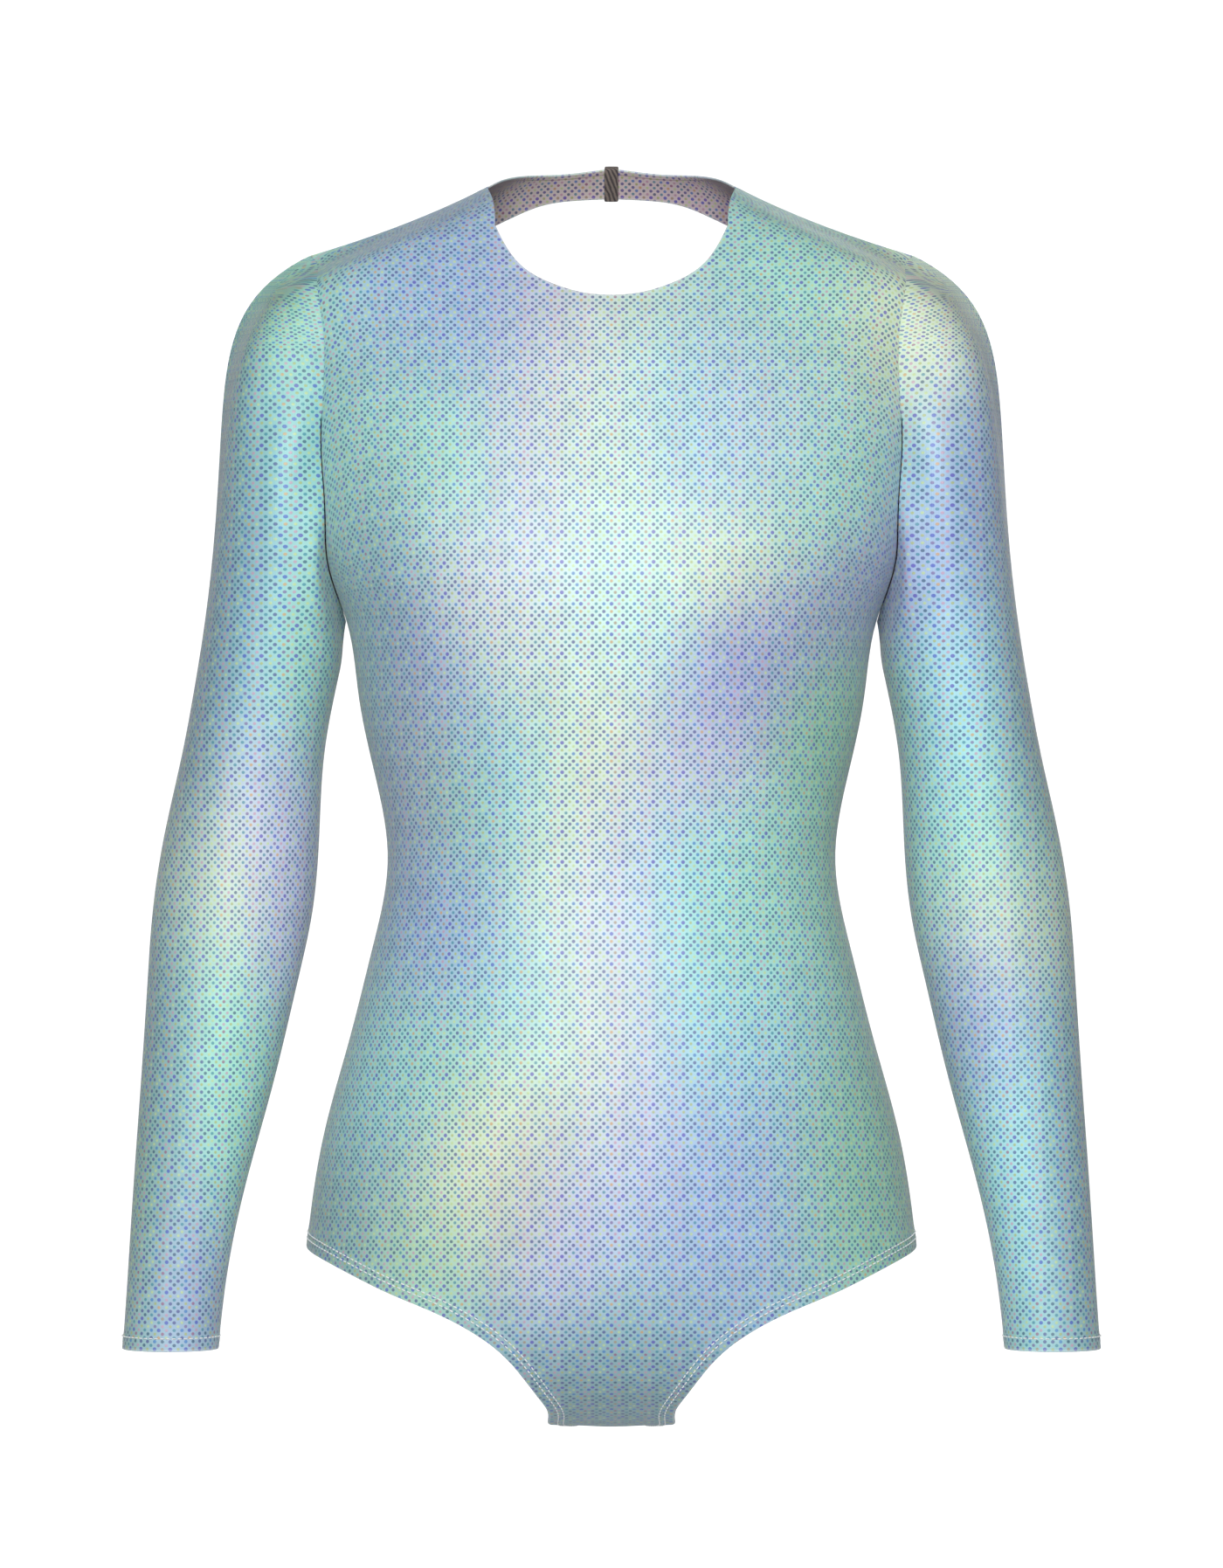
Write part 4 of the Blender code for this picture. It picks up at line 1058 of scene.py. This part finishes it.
def sleeve_print(rings, turn):
    """Lengths for the print on a sleeve: round it from its front, and its height.

    On top of the cap the height is drawn out, because the cloth lies flatter there.
    """
    centre = rings.mean(axis=1)
    lowest_cap = len(steps(CAP_RINGS)) - 1
    centre[:lowest_cap] = centre[lowest_cap]
    around = rings[..., 0].max(axis=1) - rings[..., 0].min(axis=1)
    around[:lowest_cap] = around[lowest_cap]
    angle = np.arctan2(rings[..., 0] - centre[:, None, 0], centre[:, None, 1] - rings[..., 1])
    cut = -np.pi / 2
    angle = np.where(angle < cut - 0.02, angle + 2 * np.pi, angle)
    angle[:, :5] = np.where(angle[:, :5] > np.pi, angle[:, :5] - 2 * np.pi, angle[:, :5])
    angle[:, -5:] = np.where(angle[:, -5:] < 0, angle[:, -5:] + 2 * np.pi, angle[:, -5:])
    across = centre[:, None, 0] + around[:, None] / 2 * angle
    height = rings[..., 2] + 0.8 * np.clip(rings[..., 2] + 90, 0, None)
    return np.stack([across, height], axis=-1)


def inset(form, face, path, distance):
    """A path moved sideways along the cloth by small steps, up from the leg edge."""
    moved = path.copy()
    count = max(1, int(np.ceil(distance / 2)))
    for _ in range(count):
        points = form.point(face, moved[:, 0], moved[:, 1])
        across, along = form.slopes(face, moved[:, 0], moved[:, 1])
        ways = np.gradient(points, axis=0)
        away = np.cross(ways, form.outward(face, moved[:, 0], moved[:, 1]))
        away = away / np.linalg.norm(away, axis=1, keepdims=True)
        away *= np.sign(away[len(away) // 3, 2])
        tilt = np.stack([across, along], axis=2)
        square = np.einsum("nij,nik->njk", tilt, tilt)
        right = np.einsum("nij,ni->nj", tilt, away * distance / count)
        moved = moved + np.linalg.solve(square, right[..., None])[..., 0]
        moved[:, 0] = np.clip(moved[:, 0], 0, 1)
        moved[:, 1] = np.clip(moved[:, 1], 0, form.end)
    return moved


def stitch_row(points, vectors):
    """Stitches along a line: each is a six-sided thread that dives in at both ends."""
    length = np.concatenate([[0], np.cumsum(np.linalg.norm(np.diff(points, axis=0), axis=1))])
    count = int((length[-1] - STITCH_LENGTH) / STITCH_PITCH)
    if count < 1:
        return np.zeros((0, 3)), np.zeros((0, 4), int)
    starts = (length[-1] - count * STITCH_PITCH) / 2 + STITCH_PITCH * np.arange(count)
    shape = np.array(STITCH_SHAPE)
    at = starts[:, None] + STITCH_LENGTH * shape[:, 0]
    place = np.stack([np.interp(at, length, points[:, k]) for k in range(3)], axis=-1)
    up = np.stack([np.interp(at, length, vectors[:, k]) for k in range(3)], axis=-1)
    up = up / np.linalg.norm(up, axis=-1, keepdims=True)
    ahead = np.gradient(place, axis=1)
    ahead = ahead / np.linalg.norm(ahead, axis=-1, keepdims=True)
    across = np.cross(ahead, up)
    radius = THREAD / 2
    place = place + up * (radius * shape[:, 1])[None, :, None]
    turn = np.arange(THREAD_SIDES) * 2 * np.pi / THREAD_SIDES
    ring = (
        place[:, :, None] + radius * shape[:, 2][None, :, None, None] * (
            across[:, :, None] * np.cos(turn)[:, None] + up[:, :, None] * np.sin(turn)[:, None]
        )
    )
    stations = len(shape)
    ids = np.arange(stations * THREAD_SIDES).reshape(stations, THREAD_SIDES)
    ids = np.concatenate([ids, ids[:, :1]], axis=1)
    quads = grid_quads(ids)
    ends = np.array([[0, 1, 2, 3], [0, 3, 4, 5], [3, 2, 1, 0], [5, 4, 3, 0]])
    ends[2:] += THREAD_SIDES * (stations - 1)
    one = np.concatenate([quads[:, ::-1], ends[:2], ends[2:]])
    first = THREAD_SIDES * stations * np.arange(count)
    return ring.reshape(-1, 3), (one[None] + first[:, None, None]).reshape(-1, 4)


def stitches_object(name, rows):
    """Join rows of stitches into one piece."""
    points = []
    quads = []
    count = 0
    for line, vectors in rows:
        ring, faces = stitch_row(line, vectors)
        points.append(ring)
        quads.append(faces + count)
        count += len(ring)
    points = np.concatenate(points)
    quads = np.concatenate(quads)
    mesh = bpy.data.meshes.new(name)
    mesh.from_pydata((points * MM).tolist(), [], quads.tolist())
    mesh.update()
    mesh.polygons.foreach_set("use_smooth", np.ones(len(quads), bool))
    piece = bpy.data.objects.new(name, mesh)
    bpy.context.scene.collection.objects.link(piece)
    piece.data.materials.append(thread_material())
    return piece


class Nodes:
    """Short way to write a shader's nodes."""

    def __init__(self, name):
        """Find the material, or start it; fresh says which."""
        material = bpy.data.materials.get(name)
        self.fresh = material is None
        self.material = material or bpy.data.materials.new(name)
        if self.fresh:
            self.material.use_nodes = True
            self.tree = self.material.node_tree
            self.shader = self.tree.nodes["Principled BSDF"]

    def add(self, kind, **settings):
        """New node with its settings."""
        node = self.tree.nodes.new(kind)
        for name, value in settings.items():
            setattr(node, name, value)
        return node

    def link(self, source, target):
        """Join two sockets."""
        self.tree.links.new(source, target)

    def math(self, operation, first, second=0.0, third=0.0):
        """One math node on sockets or numbers."""
        node = self.add("ShaderNodeMath", operation=operation)
        for socket, value in zip(node.inputs, (first, second, third)):
            if isinstance(value, (int, float)):
                socket.default_value = value
            else:
                self.link(value, socket)
        return node.outputs[0]

    def mix(self, amount, first, second, blend="MIX"):
        """Mix of two colours."""
        node = self.add("ShaderNodeMix", data_type="RGBA", blend_type=blend)
        for socket, value in ((node.inputs[0], amount), (node.inputs[6], first), (node.inputs[7], second)):
            if isinstance(value, (int, float, tuple)):
                socket.default_value = value
            else:
                self.link(value, socket)
        return node.outputs[2]

    def attribute(self, name):
        """Node that reads a mesh attribute."""
        return self.add("ShaderNodeAttribute", attribute_name=name)


def linear(colour):
    """Colour of 0 to 255 as light."""
    return tuple((((c / 255) + 0.055) / 1.055) ** 2.4 for c in colour)


def print_dots(nodes):
    """The print: rows of dots 2 mm apart, each row shifted by half the 4 mm between dots.

    Two slanted axes count the lattice. A dot lies where both are whole, and its row and place
    in the repeat pick its colour and size from the chart.
    """
    uv = nodes.add("ShaderNodeUVMap", uv_map="Print")
    split = nodes.add("ShaderNodeSeparateXYZ")
    nodes.link(uv.outputs[0], split.inputs[0])
    u, v = split.outputs[0], split.outputs[1]
    a = nodes.math("MULTIPLY", nodes.math("ADD", u, v), 4.0)
    b = nodes.math("MULTIPLY", nodes.math("SUBTRACT", u, v), 4.0)
    whole_a = nodes.math("ROUND", a)
    whole_b = nodes.math("ROUND", b)
    off_a = nodes.math("SUBTRACT", a, whole_a)
    off_b = nodes.math("SUBTRACT", b, whole_b)
    square = nodes.math("ADD", nodes.math("MULTIPLY", off_a, off_a), nodes.math("MULTIPLY", off_b, off_b))
    far = nodes.math("SQRT", nodes.math("MULTIPLY", square, REPEAT * REPEAT / 32))
    apart = nodes.math("SUBTRACT", whole_a, whole_b)
    row = nodes.math("FLOORED_MODULO", nodes.math("ADD", apart, 0.01), 8.0)
    column = nodes.math("FLOORED_MODULO", nodes.math("FLOOR", nodes.math("ADD", nodes.math(
        "MULTIPLY", nodes.math("ADD", whole_a, whole_b), 0.5), 0.01)), 4.0)
    index = nodes.math("ADD", nodes.math("MULTIPLY", nodes.math("FLOOR", row), 4.0), column)
    ramp = nodes.add("ShaderNodeValToRGB")
    ramp.color_ramp.interpolation = "CONSTANT"
    names = " ".join(DOT_CHART).split()
    stops = ramp.color_ramp.elements
    while len(stops) < len(names):
        stops.new(1.0)
    for place, (stop, name) in enumerate(zip(stops, names)):
        stop.position = place / len(names)
        colour, size = DOTS[name]
        stop.color = linear(colour) + (size,)
    nodes.link(nodes.math("DIVIDE", nodes.math("ADD", index, 0.5), float(len(names))), ramp.inputs[0])
    radius = nodes.math("MULTIPLY_ADD", ramp.outputs[1], 0.42, 0.60)
    mask = nodes.math("DIVIDE", nodes.math("SUBTRACT", nodes.math("ADD", radius, 0.14), far), 0.28)
    return ramp.outputs[0], nodes.math("MINIMUM", nodes.math("MAXIMUM", mask, 0.0), 1.0), uv


def cloth_material(inside=False):
    """Dotted stretch cloth: its right side with the shimmer, or its duller wrong side."""
    nodes = Nodes("cloth_inside" if inside else "cloth_outside")
    if not nodes.fresh:
        return nodes.material
    dots, mask, uv = print_dots(nodes)
    # The tint holds the pools' colours, with their painted highlight and painted shade
    tint = nodes.attribute("tint")
    coordinates = nodes.add("ShaderNodeTexCoord")
    mottle = nodes.add("ShaderNodeTexNoise")
    mottle.inputs["Scale"].default_value = 70.0
    mottle.inputs["Detail"].default_value = 3.0
    nodes.link(coordinates.outputs["Object"], mottle.inputs["Vector"])
    knit = nodes.add("ShaderNodeTexWave", wave_type="BANDS", bands_direction="X")
    knit.inputs["Scale"].default_value = 9.0
    knit.inputs["Distortion"].default_value = 1.5
    knit.inputs["Detail"].default_value = 2.0
    nodes.link(uv.outputs[0], knit.inputs["Vector"])
    if inside:
        ground = nodes.mix(0.15, linear((206, 184, 186)) + (1,), tint.outputs["Color"])
        strength = nodes.math("MULTIPLY", mask, 0.9)
        dotted = nodes.mix(strength, ground, nodes.mix(0.3, dots, linear((120, 98, 116)) + (1,)))
        # Painted shade: a dark line 2.7 mm in from each hem edge, along the fold
        fold = nodes.math("ABSOLUTE", nodes.math("SUBTRACT", nodes.attribute("hem").outputs["Fac"], 2.7))
        line = nodes.math("MULTIPLY", nodes.math("LESS_THAN", fold, 0.3), 0.5)
        dotted = nodes.mix(line, dotted, linear((118, 96, 92)) + (1,))
    else:
        ground = nodes.mix(0.14, tint.outputs["Color"], (0.95, 0.98, 0.98, 1))
        dot = nodes.mix(0.15, dots, tint.outputs["Color"])
        dotted = nodes.mix(nodes.math("MULTIPLY", mask, 0.9), ground, dot)
    shade = nodes.math("MULTIPLY_ADD", mottle.outputs[0], 0.22, 0.89)
    value = nodes.add("ShaderNodeCombineXYZ")
    for socket in value.inputs:
        nodes.link(shade, socket)
    colour = nodes.mix(1.0, dotted, value.outputs[0], "MULTIPLY")
    # Painted highlight: within 1.3 mm of a free edge the colour is mixed towards pale grey, as on a lit rim
    edge = nodes.attribute("edge").outputs["Fac"]
    near = nodes.math("MINIMUM", nodes.math("MAXIMUM", nodes.math(
        "DIVIDE", nodes.math("SUBTRACT", 1.3, edge), 1.3), 0.0), 1.0)
    colour = nodes.mix(nodes.math("MULTIPLY", near, 0.35), colour, (0.86, 0.90, 0.90, 1))
    nodes.link(colour, nodes.shader.inputs["Base Color"])
    relief = nodes.math("MULTIPLY_ADD", mask, 0.6, nodes.math("MULTIPLY", knit.outputs["Fac"], 0.5))
    bump = nodes.add("ShaderNodeBump")
    bump.inputs["Strength"].default_value = 0.35
    bump.inputs["Distance"].default_value = 0.00025
    nodes.link(relief, bump.inputs["Height"])
    nodes.link(bump.outputs[0], nodes.shader.inputs["Normal"])
    rough = nodes.math("MULTIPLY_ADD", mask, -0.10, 0.45)
    nodes.link(rough, nodes.shader.inputs["Roughness"])
    nodes.shader.inputs["Sheen Weight"].default_value = 0.10 if inside else 0.30
    nodes.shader.inputs["Sheen Roughness"].default_value = 0.4
    nodes.shader.inputs["Specular IOR Level"].default_value = 0.5
    return nodes.material


def plain_material(name, dark, pale, scale, roughness):
    """Thread or loop: fine slanted ribs in two shades; the loop's dark colours are painted shade."""
    nodes = Nodes(name)
    if not nodes.fresh:
        return nodes.material
    coordinates = nodes.add("ShaderNodeTexCoord")
    ribs = nodes.add("ShaderNodeTexWave", wave_type="BANDS", bands_direction="DIAGONAL")
    ribs.inputs["Scale"].default_value = scale
    ribs.inputs["Distortion"].default_value = 2.0
    nodes.link(coordinates.outputs["Object"], ribs.inputs["Vector"])
    colour = nodes.mix(ribs.outputs["Fac"], linear(dark) + (1,), linear(pale) + (1,))
    nodes.link(colour, nodes.shader.inputs["Base Color"])
    bump = nodes.add("ShaderNodeBump")
    bump.inputs["Strength"].default_value = 0.5
    bump.inputs["Distance"].default_value = 0.0002
    nodes.link(ribs.outputs["Fac"], bump.inputs["Height"])
    nodes.link(bump.outputs[0], nodes.shader.inputs["Normal"])
    nodes.shader.inputs["Roughness"].default_value = roughness
    nodes.shader.inputs["Sheen Weight"].default_value = 0.2
    return nodes.material


def thread_material():
    """White thread of all the stitches."""
    return plain_material("stitch_thread", (226, 230, 232), (255, 255, 255), 900.0, 0.5)


def dress(piece, node, flat=None, area=None, with_pieces=()):
    """Hang a piece on the body and hide the frame's part that it stands for; its cut is not used."""
    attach(piece, BODY)
    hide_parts(node)


def outside_and_inside(piece):
    """Right side in the first slot, wrong side in the second."""
    piece.data.materials.append(cloth_material())
    piece.data.materials.append(cloth_material(inside=True))


def panel_hem(form, face, name):
    """Two rows of stitches along each leg edge of a panel, five and eight millimetres in."""
    rows = []
    path = leg_edge(form, face)(np.linspace(*HEM_SPAN, HEM_SPAN_POINTS))
    for depth in HEM_STITCHES:
        line = inset(form, face, path, depth)
        points = form.point(face, line[:, 0], line[:, 1])
        vectors = form.outward(face, line[:, 0], line[:, 1])
        points = points + HEM_RELIEF * vectors
        for flip in (np.array([1, 1, 1]), np.array([-1, 1, 1])):
            rows.append((points * flip, vectors * flip))
    return stitches_object(name, rows)


class PanelSettings(bpy.types.PropertyGroup):
    """Thickness of the cloth."""

    wall: bpy.props.FloatProperty(
        name="Cloth", description="Thickness of the stretch cloth", default=0.001,
        min=0.0005, max=0.003, unit="LENGTH", subtype="DISTANCE")


class StageSettings(bpy.types.PropertyGroup):
    """Light on the garment."""

    key_power: bpy.props.FloatProperty(
        name="Front light", description="Power of the large light in front", default=48.0, min=0)
    sky: bpy.props.FloatProperty(
        name="Surrounding light", description="Strength of the light all round", default=0.22, min=0)


class LEOTARD_OT_front(bpy.types.Operator):
    """Sew the front panel with its leg hems"""

    bl_idname = "leotard.front"
    bl_label = "Front"

    def execute(self, context):
        form = Form()
        grid = front_grid(form)
        points, normals = panel_surface(form, "front", grid)
        cloth = whole_panel(points, normals, form.measure("front", grid))
        wall = context.scene.leotard_cloth.wall / MM
        piece = finish_cloth("front_cloth", cloth, seam_lines(form, "front"), CREASES_ON["front"],
                             leg_lines(form, "front"), wall)
        outside_and_inside(piece)
        hem = panel_hem(form, "front", "front_hem_stitches")
        dress(piece, "front", *CUTS["front"], with_pieces=[hem])
        dress(hem, "front")
        return {"FINISHED"}


class LEOTARD_OT_back(bpy.types.Operator):
    """Sew the back panel round its keyhole, with its leg hems"""

    bl_idname = "leotard.back"
    bl_label = "Back"

    def execute(self, context):
        form = Form()
        grid = back_grid(form)
        points, normals = panel_surface(form, "back", grid)
        split = 1 + round((JOINT_SHARE + KEYHOLE_SHARE) * ARMHOLE_ROWS)
        cloth = whole_panel(points, normals, form.measure("back", grid), split)
        wall = context.scene.leotard_cloth.wall / MM
        piece = finish_cloth("back_cloth", cloth, seam_lines(form, "back"), CREASES_ON["back"],
                             leg_lines(form, "back"), wall)
        outside_and_inside(piece)
        hem = panel_hem(form, "back", "back_hem_stitches")
        dress(piece, "back", *CUTS["back"], with_pieces=[hem])
        dress(hem, "back")
        return {"FINISHED"}


class LEOTARD_OT_band(bpy.types.Operator):
    """Sew the neck band and its closure loop at the back"""

    bl_idname = "leotard.band"
    bl_label = "Neck band"

    def execute(self, context):
        form = Form()
        grid = band_grid(form)
        points, normals = panel_surface(form, "back", grid)
        cloth = whole_panel(points, normals, form.measure("back", grid))
        wall = context.scene.leotard_cloth.wall / MM
        fine = np.linspace(0, 1, SEAM_POINTS)
        neck = shoulder_place(form, NECK_POINT_X)
        shoulder = straight(shoulder_place(form, BAND_END_X), neck)
        joint = np.concatenate([
            sampled(form, "back", straight(*band_joint(form))(fine)),
            sampled(form, "back", shoulder(fine)),
        ])
        upper = sampled(form, "back", form.trace("back", BAND_UPPER_EDGE, (0, 1), neck)(fine))
        piece = finish_cloth("band_cloth", cloth, joint, hem_lines=upper, wall=wall, relief=0.0)
        outside_and_inside(piece)
        dress(piece, "back_neckband", *CUTS["back_neckband"])
        loop = loop_object(points[:, -1], normals[:, -1], wall)
        dress(loop, "closure_loop")
        return {"FINISHED"}


def loop_object(points, normals, wall):
    """Closure loop: a strip bent round the band, its outline a stadium round the band's cut."""
    top, bottom = points[0], points[-1]
    out = normals.mean(axis=0)
    out = out / np.linalg.norm(out)
    up = (top - bottom) / np.linalg.norm(top - bottom)
    middle = (top + bottom) / 2 - out * wall / 2
    length = np.linalg.norm(top - bottom) / 2 + LOOP_ROOM[0]
    depth = wall / 2 + LOOP_ROOM[1]
    turn = np.linspace(0, 2 * np.pi, LOOP_TURN_POINTS, endpoint=False)
    corner = np.sign(np.cos(turn))[:, None] * up * length
    corner = corner + np.sign(np.sin(turn))[:, None] * out * depth
    away = np.cos(turn)[:, None] * up + np.sin(turn)[:, None] * out
    rings = np.array([
        middle + corner + away * LOOP_THICKNESS * high + np.array([LOOP_WIDTH / 2 * wide, 0, 0])
        for wide, high in LOOP_OUTLINE
    ])
    ids = np.arange(len(LOOP_OUTLINE) * len(turn)).reshape(len(LOOP_OUTLINE), len(turn))
    ids = np.concatenate([ids, ids[:1]])
    ids = np.concatenate([ids, ids[:, :1]], axis=1)
    quads = grid_quads(ids)
    flat = rings.reshape(-1, 3)
    corners = flat[quads]
    volume = np.einsum("ij,ij->", corners[:, 0], np.cross(corners[:, 1], corners[:, 2]))
    if volume < 0:
        quads = quads[:, ::-1]
    mesh = bpy.data.meshes.new("closure_loop_tape")
    mesh.from_pydata((flat * MM).tolist(), [], quads.tolist())
    mesh.update()
    mesh.polygons.foreach_set("use_smooth", np.ones(len(quads), bool))
    mesh.set_sharp_from_angle(angle=np.radians(60))
    piece = bpy.data.objects.new("closure_loop_tape", mesh)
    bpy.context.scene.collection.objects.link(piece)
    # Painted shade: the loop's dark grey-brown stands for the same cloth lying in shadow
    mesh.materials.append(plain_material("loop_tape_painted_shade", (62, 56, 58), (132, 120, 112), 260.0, 0.75))
    return piece


class LEOTARD_OT_sleeves(bpy.types.Operator):
    """Sew both sleeves with their turned and stitched cuffs"""

    bl_idname = "leotard.sleeves"
    bl_label = "Sleeves"

    def execute(self, context):
        form = Form()
        rings, turn, seam_out = sleeve_surface(form)
        normals = sleeve_normals(rings, seam_out)
        lengths = sleeve_print(rings, turn)
        wall = context.scene.leotard_cloth.wall / MM
        ids = np.arange(rings.shape[0] * rings.shape[1]).reshape(rings.shape[:2])
        height = rings[-1, 0, 2] + CUFF_STITCHES
        level = int(np.argmin(np.abs(rings[:, 0, 2] - height)))
        for name, side in (("sleeve_left", 1), ("sleeve_right", -1)):
            flip = np.array([side, 1, 1])
            cloth = Cloth((rings * flip).reshape(-1, 3), (normals * flip).reshape(-1, 3),
                          (lengths * np.array([side, 1])).reshape(-1, 2), grid_quads(ids))
            sewn = np.concatenate([rings[0], rings[:, 0], rings[:, -1]]) * flip
            creases = [
                (face, side * x0, z0, side * x1, z1, width, depth)
                for face, x0, z0, x1, z1, width, depth in SLEEVE_CREASES
            ]
            piece = finish_cloth(name + "_cloth", cloth, sewn, creases, rings[-1] * flip, wall)
            outside_and_inside(piece)
            line = rings[level].copy()
            line[:, 2] = height
            stitches = stitches_object(name + "_cuff_stitches", [
                ((line + HEM_RELIEF * normals[level])[::side] * flip, normals[level][::side] * flip)])
            dress(piece, name, *CUTS["sleeve"], with_pieces=[stitches])
            dress(stitches, name)
        return {"FINISHED"}


class LEOTARD_OT_stage(bpy.types.Operator):
    """Set the pale floor, the soft lights and the camera"""

    bl_idname = "leotard.stage"
    bl_label = "Stage"

    def execute(self, context):
        scene = context.scene
        settings = scene.leotard_stage
        mesh = bpy.data.meshes.new("floor")
        mesh.from_pydata(
            [(FLOOR_HALF * x, FLOOR_HALF * y, FLOOR_HEIGHT) for x, y in ((-1, -1), (1, -1), (1, 1), (-1, 1))],
            [], [(0, 1, 2, 3)])
        floor = bpy.data.objects.new("floor", mesh)
        scene.collection.objects.link(floor)
        nodes = Nodes("floor_paint")
        nodes.shader.inputs["Base Color"].default_value = (0.93, 0.93, 0.93, 1)
        nodes.shader.inputs["Roughness"].default_value = 0.9
        nodes.shader.inputs["Emission Color"].default_value = (1, 1, 1, 1)
        seen = nodes.add("ShaderNodeLightPath")
        glow = nodes.math("MULTIPLY", seen.outputs["Is Camera Ray"], FLOOR_SEEN)
        nodes.link(glow, nodes.shader.inputs["Emission Strength"])
        mesh.materials.append(nodes.material)

        world = bpy.data.worlds.new("pale_room")
        scene.world = world
        world.use_nodes = True
        tree = world.node_tree
        sky = tree.nodes["Background"]
        sky.inputs["Color"].default_value = (1, 1, 1, 1)
        sky.inputs["Strength"].default_value = settings.sky
        seen = tree.nodes.new("ShaderNodeBackground")
        seen.inputs["Color"].default_value = (1, 1, 1, 1)
        seen.inputs["Strength"].default_value = WORLD_SEEN
        rays = tree.nodes.new("ShaderNodeLightPath")
        choose = tree.nodes.new("ShaderNodeMixShader")
        tree.links.new(rays.outputs["Is Camera Ray"], choose.inputs[0])
        tree.links.new(sky.outputs[0], choose.inputs[1])
        tree.links.new(seen.outputs[0], choose.inputs[2])
        tree.links.new(choose.outputs[0], tree.nodes["World Output"].inputs["Surface"])

        for name, place, size, share in LIGHTS:
            light = bpy.data.lights.new(name, "AREA")
            light.size = size
            light.energy = share * settings.key_power
            lamp = bpy.data.objects.new(name, light)
            lamp.location = place
            aim = np.array(LIGHT_AIM) - np.array(place)
            lamp.rotation_euler = Vector(aim).to_track_quat("-Z", "Y").to_euler()
            scene.collection.objects.link(lamp)

        camera = bpy.data.cameras.new("camera")
        camera.lens = CAMERA_LENS
        camera.sensor_width = CAMERA_SENSOR
        camera.clip_end = 50
        eye = bpy.data.objects.new("camera", camera)
        eye.location = CAMERA_PLACE
        eye.rotation_euler = (np.pi / 2, 0, 0)
        scene.collection.objects.link(eye)
        scene.camera = eye
        scene.view_settings.view_transform = "Standard"
        return {"FINISHED"}


class LEOTARD_PT_panel(bpy.types.Panel):
    """Buttons for each step"""

    bl_label = "Leotard"
    bl_idname = "LEOTARD_PT_panel"
    bl_space_type = "VIEW_3D"
    bl_region_type = "UI"
    bl_category = "Leotard"

    def draw(self, context):
        self.layout.prop(context.scene.leotard_cloth, "wall")
        for operator in OPERATORS[:-1]:
            self.layout.operator(operator.bl_idname)
        self.layout.prop(context.scene.leotard_stage, "key_power")
        self.layout.prop(context.scene.leotard_stage, "sky")
        self.layout.operator(OPERATORS[-1].bl_idname)


OPERATORS = (LEOTARD_OT_front, LEOTARD_OT_back, LEOTARD_OT_band, LEOTARD_OT_sleeves, LEOTARD_OT_stage)
CLASSES = (PanelSettings, StageSettings) + OPERATORS + (LEOTARD_PT_panel,)


def register():
    """Register the classes and the settings of the scene."""
    for item in CLASSES:
        bpy.utils.register_class(item)
    bpy.types.Scene.leotard_cloth = bpy.props.PointerProperty(type=PanelSettings)
    bpy.types.Scene.leotard_stage = bpy.props.PointerProperty(type=StageSettings)


def unregister():
    """Take them off again."""
    del bpy.types.Scene.leotard_stage
    del bpy.types.Scene.leotard_cloth
    for item in reversed(CLASSES):
        bpy.utils.unregister_class(item)


def main():
    """Build every piece and the stage."""
    register()
    bpy.ops.leotard.front()
    bpy.ops.leotard.back()
    bpy.ops.leotard.band()
    bpy.ops.leotard.sleeves()
    bpy.ops.leotard.stage()


if __name__ == "__main__":
    main()
